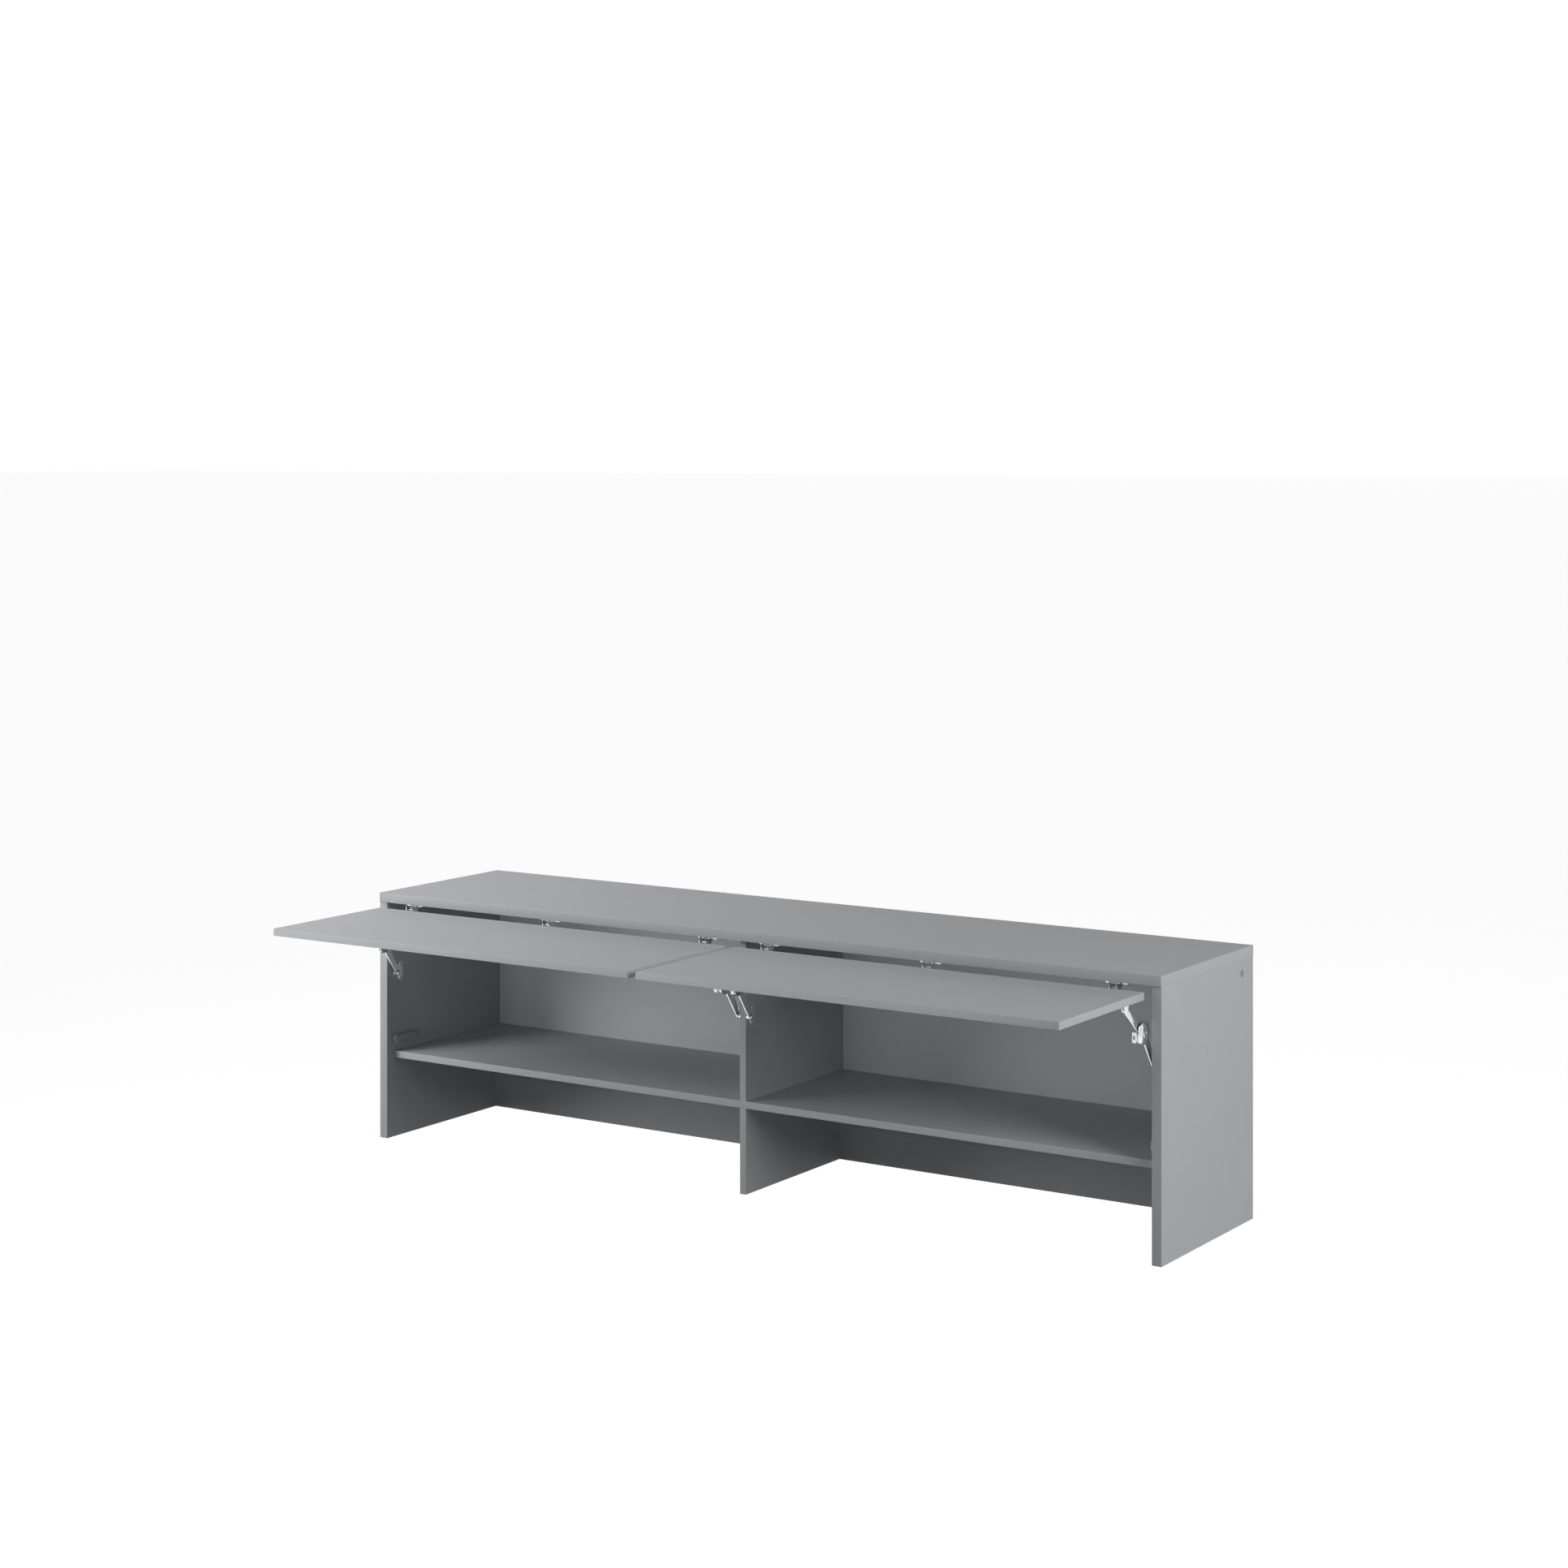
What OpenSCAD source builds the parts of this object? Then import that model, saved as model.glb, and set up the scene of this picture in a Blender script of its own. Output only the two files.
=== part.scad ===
// Over-bed wall cabinet with two lift-up flap doors, shown with both flaps open.
// Frame: +Z up, front towards -Y, origin on the underside of the lower divider
// at the middle of the width and of the depth. Millimetres.

/* [Cabinet] */
// Overall width
cab_w = 2110; // [1800:10:2400]
// Depth of the side panels
cab_d = 460; // [420:5:520]
// Overall height
cab_h = 600; // [560:5:700]
// Thickness of the top and the side panels
side_t = 22; // [18:1:25]
// Thickness of doors, shelf, dividers and lower back
board_t = 16; // [15:1:18]
// Thickness of the fibreboard back
back_t = 3; // [3:0.5:5]
// How far the top stands out in front of the sides
top_lip = 2; // [0:0.5:5]
// Height of the fixed shelf's upper face
shelf_top = 211; // [180:1:260]
// Setback of the shelf and dividers behind the side panels' front edges
setback = 24; // [20:1:30]
// Distance from the rear edges to the fibreboard's front face
back_inset = 19; // [19:1:25]
// Radius of the edge banding
band_r = 1; // [0.5:0.25:2]

/* [Doors] */
// Gap between a door and its side panel
door_gap = 3; // [2:0.5:5]
// Gap between the two doors
mid_gap = 22; // [20:1:30]
// Height of a closed door
door_h = 376; // [340:1:380]
// Gap under the top when a door is closed
top_gap = 3; // [2:0.5:5]
// Swing axis in front of the side panels
axis_out = 18; // [16:0.5:20]
// Swing axis above a closed door's upper edge
axis_up = 12; // [10:0.5:14]

/* [Hinges] */
// Radius of the hinge cup's hole
cup_r = 17.5; // [17:0.5:20]
// Depth of the hinge cup's hole
cup_depth = 12; // [11:0.5:13]
// Cup centre from the door's edge
cup_edge = 22; // [21:0.5:25]
// Half width of a hinge arm
arm_hw = 9.5; // [8:0.5:10]

/* [Stays] */
// Radius of the friction knuckle
knuckle_r = 25; // [20:1:26]
// Width of the stay arms at the knuckle
stay_w = 22; // [18:1:24]
// Width of the stay arms at their other ends
stay_end_w = 15; // [12:1:16]
// Thickness of the stay arms
stay_t = 3; // [2:0.5:4]

/* [Push latches] */
// Length of a latch housing
latch_len = 86; // [60:1:90]
// Height of a latch housing above the cabinet's lowest point
latch_z = 242; // [238:1:260]

/* [Hidden] */
$fn = 48;

// Colours
laminate = [0.66, 0.68, 0.69];
steel = [0.72, 0.73, 0.74];
nickel = [0.80, 0.80, 0.79];
grey_plastic = [0.42, 0.44, 0.45];
fibreboard = [0.60, 0.62, 0.63];
beech = [0.76, 0.62, 0.44];

// Carcass levels
half_w = cab_w / 2;
in_w = half_w - side_t;
front = -cab_d / 2;
rear = cab_d / 2;
under_top = cab_h - side_t;
shelf_low = shelf_top - board_t;
div_hw = board_t / 2;
inner_front = front + setback;
back_y = rear - back_inset;
groove = 8;
groove_play = 0.1;
low_back_y = back_y - board_t;
back_low = shelf_low - board_t;
strip_hw = 12;

// Doors, drawn open: flat, with the hinged edge to the rear
door_w = in_w - door_gap - mid_gap / 2;
axis_y = front - axis_out;
axis_z = under_top - top_gap + axis_up;
door_rear = axis_y - axis_up;
door_z1 = axis_z - axis_out;
door_z0 = door_z1 - board_t;
door_x0 = [-half_w + side_t + door_gap, mid_gap / 2];

// Hinges: distances along a door from its left end, and the three pivots
hinge_along = [51, 472, 923];
cup_y = door_rear - cup_edge;
cup_pin = [door_rear - 24, door_z0 + 5];
arm_pin = [front + 24, under_top - 16];
knee_pin = arm_pin + cup_pin - [axis_y, axis_z];
pin_r = 1.5;
pin_play = 0.05;
knee_play = 0.5;
rear_link_x = [5.2, 7.2];
front_link_x = [2.6, 4.8];
plate_y = front + board_t + 37;
wing_y = plate_y - 6;
wing_h = 10;

// Stays: fixed pivot, knuckle and door pivot, all as [y, z]
stay_face = [-in_w, -div_hw, div_hw, in_w];
stay_dir = [1, -1, 1, -1];
foot_pin = [front + 31, 402.5];
knuckle = [front - 22, 483];
door_pin = [door_rear - 68, door_z0 - 10];
stay_plate_c = [front + 48.5, 405];
stay_pin_r = 3;
lower_x = [7, 7 + stay_t];
upper_x = [7.4 + stay_t, 7.4 + 2 * stay_t];
bracket_x = [7.4, 16.4];
bracket_screw_y = [-18, 12];

// Push latches
latch_y = front + 20;
latch_w = 13;
latch_hz = 8;
latch_mid = 7;
plunger_r = 3.9;
plunger_play = 0.08;
plunger_out = 3.8;
plunger_len = 36;
spring_end = 62;
spring_turns = 9;
spring_r = 2.7;
wire_r = 0.45;
latch_screw_y = [latch_y + 68, latch_y + 80];
ring_sides = 6;
turn_steps = 12;
ring_count = spring_turns * turn_steps;
spring_y0 = latch_y + plunger_len + wire_r + 0.1;
spring_y1 = latch_y + spring_end - wire_r - 0.1;
strike_y = door_rear - (axis_z - axis_up - latch_z);
strike_x = [in_w - 21, in_w - 4];
strike_t = 1.1;

// Fastener places
cam_y = [front + 60, front + 300];
cam_r = 7.5;
cam_deep = 12.5;
cam_in = 34;
hanger_z = cab_h - 54;
hanger_y = rear - 60;

// ---- helpers -------------------------------------------------------------
// Box from its two corners
module block(a, b) {
    translate(a) cube(b - a);
}
// Extrudes a (y, z) outline from x0 to x1
module yz_slab(x0, x1) {
    translate([x0, 0, 0]) rotate([90, 0, 90]) linear_extrude(x1 - x0) children();
}
module x_rod(x0, x1, p, r) {
    translate([x0, p[0], p[1]]) rotate([0, 90, 0]) cylinder(h = x1 - x0, r = r);
}
module z_rod(x, y, z0, z1, r) {
    translate([x, y, z0]) cylinder(h = z1 - z0, r = r);
}
module y_rod(x, y0, y1, z, r) {
    translate([x, y1, z]) rotate([90, 0, 0]) cylinder(h = y1 - y0, r = r);
}
// Rectangle with rounded corners, a corner at the origin
module round_rect(w, h, r) {
    translate([r, 0]) square([w - 2 * r, h]);
    translate([0, r]) square([w, h - 2 * r]);
    for (x = [r, w - r], y = [r, h - r]) translate([x, y]) circle(r);
}
// Flat bar with round ends between two points, w_p wide at p and w_q wide at q
module bar(p, q, w_p, w_q) {
    aim = atan2(q[1] - p[1], q[0] - p[0]);
    polygon(concat(
        [for (t = [90:15:270]) p + w_p / 2 * [cos(aim + t), sin(aim + t)]],
        [for (t = [-90:15:90]) q + w_q / 2 * [cos(aim + t), sin(aim + t)]]
    ));
}
// Board with rounded long edges along x
module board_x(a, b) {
    translate([0, a[1], a[2]])
        yz_slab(a[0], b[0]) round_rect(b[1] - a[1], b[2] - a[2], band_r);
}
// Board with rounded long edges along z
module board_z(a, b) {
    translate([a[0], a[1], a[2]])
        linear_extrude(b[2] - a[2]) round_rect(b[0] - a[0], b[1] - a[1], band_r);
}
// Places a piece drawn at x = 0 at the three hinges of door s (0 left, 1 right)
module at_hinges(s) {
    for (along = hinge_along) translate([door_x0[s] + along, 0, 0]) children();
}
// Places a piece drawn on a panel's face, x running away from the face
module at_stay(i) {
    translate([stay_face[i], 0, 0]) mirror([stay_dir[i] < 0 ? 1 : 0, 0, 0]) children();
}
// Mirrors to the left side when s is 0
module on_side(s) {
    mirror([s == 0 ? 1 : 0, 0, 0]) children();
}

// ---- shared hole patterns --------------------------------------------------
nail_x = [for (i = [-4.5:1:4.5]) i * 210];
module nails(r, head) {
    for (x = nail_x) {
        y_rod(x, back_y - 10, back_y + back_t, shelf_low + board_t / 2, r);
        if (head > 0) y_rod(x, back_y + back_t, back_y + back_t + 0.7, shelf_low + board_t / 2, head);
    }
}
module plate_screw_shanks(r) {
    for (s = [0, 1]) at_hinges(s)
        for (x = [-17, 17]) z_rod(x, wing_y, under_top - wing_h - 1, under_top + 13, r);
}
module dowels(r, spare) {
    for (y = [inner_front + 60, back_y - 60]) {
        z_rod(0, y, under_top - 20 - spare, under_top + 12 + spare, r);
        z_rod(0, y, shelf_low - 14 - spare, shelf_top + 14 + spare, r);
    }
    for (s = [0, 1]) on_side(s) for (z = [50, 150])
        x_rod(in_w - 20 - spare, in_w + 10 + spare, [low_back_y + div_hw, z], r);
}
// Cam locks: discs in the sides' inner faces and in the shelf's underside
module cam_discs(r, spare) {
    for (s = [0, 1]) on_side(s) for (y = cam_y) {
        x_rod(in_w, in_w + cam_deep + spare, [y, under_top - cam_in], r);
        z_rod(in_w - cam_in, y, shelf_low, shelf_low + cam_deep + spare, r);
    }
}
module cam_rods(r_shank, r_thread, spare) {
    for (s = [0, 1]) on_side(s) for (y = cam_y) {
        z_rod(in_w + side_t / 2, y, under_top - cam_in + cam_r + 0.3 - spare, under_top, r_shank);
        z_rod(in_w + side_t / 2, y, under_top, under_top + 11 + spare, r_thread);
        x_rod(in_w - cam_in + cam_r + 0.3 - spare, in_w, [y, shelf_low + div_hw], r_shank);
        x_rod(in_w, in_w + 11 + spare, [y, shelf_low + div_hw], r_thread);
    }
}
module stay_screws(r) {
    for (i = [0:3]) at_stay(i) for (z = [-16, 16])
        x_rod(-7, 2.2, stay_plate_c + [0, z], r);
}
module latch_shanks(r) {
    for (s = [0, 1]) on_side(s) for (y = latch_screw_y)
        x_rod(in_w - latch_w, in_w + 10, [y, latch_z], r);
}

// ---- carcass ---------------------------------------------------------------
module top_panel() {
    color(laminate) difference() {
        board_x([-half_w, front - top_lip, under_top], [half_w, rear, cab_h]);
        block([-in_w - groove - groove_play, back_y - groove_play, under_top - 1],
            [in_w + groove + groove_play, back_y + back_t + groove_play, under_top + groove + groove_play]);
        plate_screw_shanks(2);
        dowels(4.05, 1);
        cam_rods(4, 2.6, 0.5);
    }
}
module side_panel(s) {
    color(laminate) difference() {
        on_side(s) difference() {
            board_z([in_w, front, 0], [half_w, rear, under_top]);
            block([in_w - 1, back_y - groove_play, back_low - 1],
                [in_w + groove + groove_play, back_y + back_t + groove_play, under_top + 1]);
            x_rod(in_w - 1, half_w + 1, [hanger_y, hanger_z], 4);
            x_rod(half_w - 1.8, half_w + 1, [hanger_y, hanger_z], 8.1);
        }
        dowels(4.05, 1);
        cam_discs(cam_r + 0.05, 0.2);
        cam_rods(4, 2.6, 0.5);
        stay_screws(1.7);
        latch_shanks(1.7);
    }
}
module fixed_shelf() {
    color(laminate) difference() {
        board_x([-in_w, inner_front, shelf_low], [in_w, back_y, shelf_top]);
        dowels(4.05, 1);
        cam_discs(cam_r + 0.05, 0.2);
        cam_rods(4, 2.6, 0.5);
        nails(0.9, 0);
    }
}
module upper_divider() {
    color(laminate) difference() {
        board_z([-div_hw, inner_front, shelf_top], [div_hw, back_y, under_top]);
        dowels(4.05, 1);
        stay_screws(1.7);
    }
}
module lower_divider() {
    color(laminate) difference() {
        board_z([-div_hw, inner_front, 0], [div_hw, low_back_y, shelf_low]);
        dowels(4.05, 1);
    }
}
module lower_back_board() {
    color(laminate) difference() {
        board_x([-in_w, low_back_y, 0], [in_w, back_y, shelf_low]);
        dowels(4.05, 1);
    }
}
module back_panel(s) {
    color(fibreboard) difference() {
        on_side(s) block([1, back_y, back_low], [in_w + groove, back_y + back_t, under_top + groove]);
        nails(0.9, 0);
        on_side(s) block([in_w - 15, back_y - 1, hanger_z - 17],
            [in_w - 1, back_y + back_t + 1, hanger_z + 19]);
    }
}
// Moulded T strip that closes the joint between the two back halves
module back_joint_strip() {
    color(fibreboard) {
        block([-0.8, back_y, back_low], [0.8, back_y + back_t, under_top]);
        block([-strip_hw, back_y + back_t, back_low], [strip_hw, back_y + back_t + 1.2, under_top]);
    }
}

// ---- fasteners and hangers ---------------------------------------------------
module cam_locks() {
    color(steel) difference() {
        cam_discs(cam_r, 0);
        for (s = [0, 1]) on_side(s) for (y = cam_y) {
            block([in_w - 1, y - 0.8, under_top - cam_in - 4.5], [in_w + 2, y + 0.8, under_top - cam_in + 4.5]);
            block([in_w - 1, y - 4.5, under_top - cam_in - 0.8], [in_w + 2, y + 4.5, under_top - cam_in + 0.8]);
            block([in_w - cam_in - 0.8, y - 4.5, shelf_low - 1], [in_w - cam_in + 0.8, y + 4.5, shelf_low + 2]);
            block([in_w - cam_in - 4.5, y - 0.8, shelf_low - 1], [in_w - cam_in + 4.5, y + 0.8, shelf_low + 2]);
        }
    }
}
module cam_bolts() {
    color(steel) cam_rods(3.4, 2.5, 0);
}
module wood_dowels() {
    color(beech) dowels(4, 0);
}
module back_panel_nails() {
    color(steel) nails(0.8, 2.5);
}
module cover_caps() {
    color(grey_plastic) for (s = [0, 1]) on_side(s) {
        x_rod(half_w - 1.8, half_w - 0.4, [hanger_y, hanger_z], 8);
        x_rod(half_w - 8, half_w - 1.8, [hanger_y, hanger_z], 3.9);
    }
}
// Adjustable hanger: moulded housing with a steel hook that reaches through the back
module wall_hanger(s) {
    on_side(s) {
        color(grey_plastic) difference() {
            block([in_w - 16, back_y - 60, hanger_z - 30], [in_w, back_y - 0.5, hanger_z + 28]);
            block([in_w - 13.5, back_y - 57, hanger_z - 25], [in_w - 2.5, back_y + 1, hanger_z + 20]);
            for (z = [-12, 8]) x_rod(in_w - 17, in_w - 12, [back_y - 40, hanger_z + z], 3.5);
        }
        color(steel) yz_slab(in_w - 11, in_w - 7) polygon([
            [back_y - 57, hanger_z - 10], [back_y + 15, hanger_z - 10], [back_y + 15, hanger_z + 15],
            [back_y + 11, hanger_z + 15], [back_y + 11, hanger_z + 1], [back_y - 6, hanger_z + 1],
            [back_y - 14, hanger_z + 12], [back_y - 57, hanger_z + 12]
        ]);
        color(steel) difference() {
            x_rod(in_w, half_w - 9, [hanger_y, hanger_z], 3.9);
            x_rod(half_w - 12, half_w, [hanger_y, hanger_z], 2);
        }
    }
}

// ---- concealed hinges --------------------------------------------------------
module hinge_plates(s) {
    color(nickel) at_hinges(s) difference() {
        union() {
            for (x = [-27, arm_hw + 1]) translate([x, wing_y - 12, under_top - wing_h])
                linear_extrude(wing_h) round_rect(26 - arm_hw, 24, 5);
            block([-12, wing_y - 8, under_top - 3], [12, wing_y + 8, under_top]);
            block([-7, plate_y - 10, under_top - 9], [7, plate_y + 34, under_top]);
        }
        for (x = [-17, 17]) z_rod(x, wing_y, under_top - wing_h - 1, under_top + 1, 2.2);
    }
}
module hinge_plate_screws() {
    color(steel) {
        plate_screw_shanks(1.9);
        for (s = [0, 1]) at_hinges(s) for (x = [-17, 17]) translate([x, wing_y, under_top - wing_h]) difference() {
            translate([0, 0, -2.2]) cylinder(h = 2.2, r = 3.8);
            block([-0.6, -2.4, -3], [0.6, 2.4, -1.2]);
            block([-2.4, -0.6, -3], [2.4, 0.6, -1.2]);
        }
    }
}
// Pressed arm: two cheeks, a lower web over the plate and an upper web at the nose
module hinge_arms(s) {
    nose = front + board_t + 1.8;
    tail = plate_y + 42;
    step = plate_y - 12;
    low = under_top - 24.5;
    mid = under_top - 12.5;
    high = under_top - 4.5;
    color(nickel) at_hinges(s) {
        difference() {
            union() {
                for (x = [-arm_hw, arm_hw - 2]) yz_slab(x, x + 2) polygon([
                    [nose, low + 4], [nose + 4, low], [nose + 19, low], [step + 5, mid],
                    [tail - 3, mid], [tail, mid + 3], [tail, high], [nose + 3, high], [nose, high - 3]
                ]);
                block([-arm_hw, step + 6, mid], [arm_hw, tail - 3, mid + 2.2]);
                block([-arm_hw, nose + 3, high - 2], [arm_hw, step - 2, high]);
                x_rod(-arm_hw - 0.8, arm_hw + 0.8, arm_pin, pin_r);
            }
            for (y = [plate_y + 4, plate_y + 26]) z_rod(0, y, mid - 1, mid + 3, 3.2);
        }
        for (y = [plate_y + 4, plate_y + 26]) difference() {
            z_rod(0, y, mid - 0.6, under_top - 9, 3.1);
            block([-0.6, y - 2.3, mid - 1], [0.6, y + 2.3, mid + 0.6]);
            block([-2.3, y - 0.6, mid - 1], [2.3, y + 0.6, mid + 0.6]);
        }
    }
}
// Link from the arm's nose to the knee, with the knee pin
module hinge_rear_links(s) {
    color(steel) at_hinges(s) {
        for (x = [-rear_link_x[1], rear_link_x[0]]) yz_slab(x, x + 2) difference() {
            bar(arm_pin, knee_pin, 7, 7);
            translate(arm_pin) circle(pin_r + pin_play);
        }
        x_rod(-rear_link_x[0] - 1, rear_link_x[0] + 1, knee_pin, pin_r);
    }
}
// Link from the knee into the cup; the knee hole is wide, so the linkage is open there
module hinge_front_links(s) {
    mid = (knee_pin + cup_pin) / 2;
    color(steel) at_hinges(s) {
        for (x = [-front_link_x[1], front_link_x[0]]) yz_slab(x, x + 2.2) difference() {
            bar(knee_pin, cup_pin, 6, 6);
            translate(cup_pin) circle(pin_r + pin_play);
            translate(knee_pin) circle(pin_r + knee_play);
        }
        x_rod(-front_link_x[0] - 1, front_link_x[0] + 1, mid, 2);
    }
}
module cup_flange() {
    translate([-31, cup_y - 17]) round_rect(62, 20, 8);
    translate([0, cup_y]) circle(cup_r + 2);
}
module cup_screw_places() {
    for (x = [-24, 24]) translate([x, cup_y - 7, 0]) children();
}
module hinge_cups(s) {
    wall = 1;
    color(nickel) at_hinges(s) {
        difference() {
            union() {
                translate([0, cup_y, door_z0]) cylinder(h = cup_depth - 0.3, r = cup_r - 0.1);
                translate([0, 0, door_z0 - 1.2]) linear_extrude(1.2) cup_flange();
            }
            translate([0, cup_y, door_z0 - 2]) cylinder(h = cup_depth + 0.7, r = cup_r - 0.1 - wall);
            cup_screw_places() translate([0, 0, door_z0 - 2]) cylinder(h = 3, r = 2.1);
        }
        x_rod(-cup_r + 0.8, cup_r - 0.8, cup_pin, pin_r);
    }
}
module cup_screws(s) {
    color(steel) at_hinges(s) cup_screw_places() {
        translate([0, 0, door_z0 - 1.2]) cylinder(h = 12, r = 1.9);
        difference() {
            translate([0, 0, door_z0 - 3.2]) cylinder(h = 2, r = 3.8);
            block([-0.6, -2.4, door_z0 - 4], [0.6, 2.4, door_z0 - 2]);
            block([-2.4, -0.6, door_z0 - 4], [2.4, 0.6, door_z0 - 2]);
        }
    }
}

// ---- doors ---------------------------------------------------------------------
module bracket_screw_places() {
    for (y = bracket_screw_y) translate([(bracket_x[0] + bracket_x[1]) / 2, door_pin[0] + y, 0]) children();
}
module door_panel(s) {
    color(laminate) difference() {
        board_x([door_x0[s], door_rear - door_h, door_z0], [door_x0[s] + door_w, door_rear, door_z1]);
        at_hinges(s) translate([0, cup_y, door_z0 - 1]) cylinder(h = cup_depth + 1, r = cup_r);
        at_hinges(s) cup_screw_places() translate([0, 0, door_z0 - 1]) cylinder(h = 12.5, r = 2);
        for (i = [2 * s, 2 * s + 1]) at_stay(i) bracket_screw_places()
            translate([0, 0, door_z0 - 1]) cylinder(h = 11.5, r = 2);
        on_side(s) block([strike_x[0] - 0.1, strike_y - 6.1, door_z0 - 1],
            [strike_x[1] + 0.1, strike_y + 6.1, door_z0 + strike_t]);
        on_side(s) z_rod(strike_x[0] + 5, strike_y, door_z0, door_z0 + 10, 1.6);
    }
}
// Steel plate let into the door for the latch's magnet, with its screw
module latch_strike(s) {
    color(steel) on_side(s) {
        block([strike_x[0], strike_y - 6, door_z0], [strike_x[1], strike_y + 6, door_z0 + strike_t]);
        z_rod(strike_x[0] + 5, strike_y, door_z0, door_z0 + 9, 1.5);
    }
}

// ---- stays -----------------------------------------------------------------------
module stay_plate(i) {
    color(nickel) at_stay(i) {
        yz_slab(0, 2.2) difference() {
            union() {
                bar(stay_plate_c - [0, 14], stay_plate_c + [0, 14], 19, 19);
                bar(foot_pin, stay_plate_c, 14, 14);
            }
            for (z = [-16, 16]) translate(stay_plate_c + [0, z]) circle(2);
        }
        x_rod(2.2, 5.8, foot_pin, 6);
        x_rod(5.8, lower_x[1] + 0.5, foot_pin, stay_pin_r);
        x_rod(lower_x[1] + 0.5, lower_x[1] + 2.5, foot_pin, 5);
    }
}
module stay_plate_screws() {
    color(steel) {
        stay_screws(1.6);
        for (i = [0:3]) at_stay(i) for (z = [-16, 16]) difference() {
            x_rod(2.2, 3.6, stay_plate_c + [0, z], 3.6);
            for (w = [[0.6, 2.3], [2.3, 0.6]]) block(
                [2.9, stay_plate_c[0] - w[0], stay_plate_c[1] + z - w[1]],
                [4, stay_plate_c[0] + w[0], stay_plate_c[1] + z + w[1]]);
        }
    }
}
// Lower arm with the domed friction disc that faces the panel
module stay_lower_arm(i) {
    color(nickel) at_stay(i) {
        yz_slab(lower_x[0], lower_x[1]) difference() {
            union() {
                bar(foot_pin, knuckle, stay_end_w, stay_w);
                translate(knuckle) circle(knuckle_r);
            }
            translate(foot_pin) circle(stay_pin_r + pin_play);
        }
        translate([lower_x[0], knuckle[0], knuckle[1]]) rotate([0, -90, 0]) rotate_extrude() polygon([
            [0, 0], [knuckle_r - 0.5, 0], [knuckle_r - 1.5, 1.2], [knuckle_r - 7, 2.6], [9, 3.4], [8, 4], [0, 4]
        ]);
    }
}
// Upper arm with the free-side cap and the adjusting tab in front of the knuckle
module stay_upper_arm(i) {
    tab_y = knuckle[0] - 28;
    tab_z = knuckle[1] - 5;
    color(nickel) at_stay(i) {
        yz_slab(upper_x[0], upper_x[1]) difference() {
            union() {
                bar(door_pin, knuckle, stay_end_w, stay_w);
                translate(knuckle) circle(knuckle_r - 1);
                translate([tab_y, tab_z - 10]) square([28, 20]);
            }
            translate(door_pin) circle(stay_pin_r + pin_play);
        }
        difference() {
            block([upper_x[0], tab_y - 2.5, tab_z - 11], [upper_x[1] + 6, tab_y, tab_z + 11]);
            block([upper_x[0] + 2.5, tab_y - 3, tab_z - 3.5], [upper_x[0] + 6.5, tab_y + 1, tab_z + 3.5]);
        }
        translate([upper_x[1], knuckle[0], knuckle[1]]) rotate([0, 90, 0]) rotate_extrude() polygon([
            [0, 0], [knuckle_r - 7, 0], [knuckle_r - 7.5, 1.5], [knuckle_r - 12, 3], [0, 3.6]
        ]);
    }
}
module stay_bracket(i) {
    base = [door_pin[0] - 24, door_pin[0] + 18];
    color(nickel) at_stay(i) {
        difference() {
            block([bracket_x[0], base[0], door_z0 - 1.8], [bracket_x[1], base[1], door_z0]);
            bracket_screw_places() translate([0, 0, door_z0 - 3]) cylinder(h = 4, r = 2.1);
        }
        for (x = [bracket_x[0], bracket_x[1] - 2]) yz_slab(x, x + 2) polygon([
            [door_pin[0] - 11, door_z0 - 1.8], [door_pin[0] - 6, door_pin[1] - 6],
            [door_pin[0] + 6, door_pin[1] - 6], [door_pin[0] + 8, door_z0 - 1.8]
        ]);
        x_rod(bracket_x[0], bracket_x[1], door_pin, stay_pin_r);
    }
}
module bracket_screws(s) {
    color(steel) for (i = [2 * s, 2 * s + 1]) at_stay(i) bracket_screw_places() {
        translate([0, 0, door_z0 - 1.8]) cylinder(h = 11, r = 1.9);
        translate([0, 0, door_z0 - 3.6]) cylinder(h = 1.8, r = 3.4);
    }
}

// ---- push latches ------------------------------------------------------------------
module latch_housing(s) {
    x0 = in_w - latch_w;
    color(grey_plastic) on_side(s) difference() {
        union() {
            translate([x0, latch_y, latch_z - latch_hz]) rotate([90, 0, 0]) mirror([0, 0, 1])
                linear_extrude(latch_len) round_rect(latch_w, 2 * latch_hz, 1.5);
            translate([x0, latch_y, latch_z - latch_hz - 2]) rotate([90, 0, 0]) mirror([0, 0, 1])
                linear_extrude(3) round_rect(latch_w, 2 * latch_hz + 4, 2);
        }
        y_rod(in_w - latch_mid, latch_y - 1, latch_y + spring_end, latch_z, plunger_r + plunger_play);
        for (y = latch_screw_y) {
            x_rod(x0 - 1, in_w + 1, [y, latch_z], 1.8);
            x_rod(x0 - 1, x0 + 2, [y, latch_z], 3.4);
        }
    }
}
module latch_plunger(s) {
    color(grey_plastic) on_side(s) difference() {
        y_rod(in_w - latch_mid, latch_y - plunger_out, latch_y + plunger_len, latch_z, plunger_r);
        y_rod(in_w - latch_mid, latch_y - plunger_out - 1, latch_y - plunger_out + 0.6, latch_z, 2.6);
    }
}
module latch_screws() {
    color(steel) {
        latch_shanks(1.6);
        for (s = [0, 1]) on_side(s) for (y = latch_screw_y) difference() {
            x_rod(in_w - latch_w + 0.2, in_w - latch_w + 2, [y, latch_z], 3.2);
            for (w = [[0.5, 2], [2, 0.5]]) block(
                [in_w - latch_w - 1, y - w[0], latch_z - w[1]], [in_w - latch_w + 0.9, y + w[0], latch_z + w[1]]);
        }
    }
}
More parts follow.
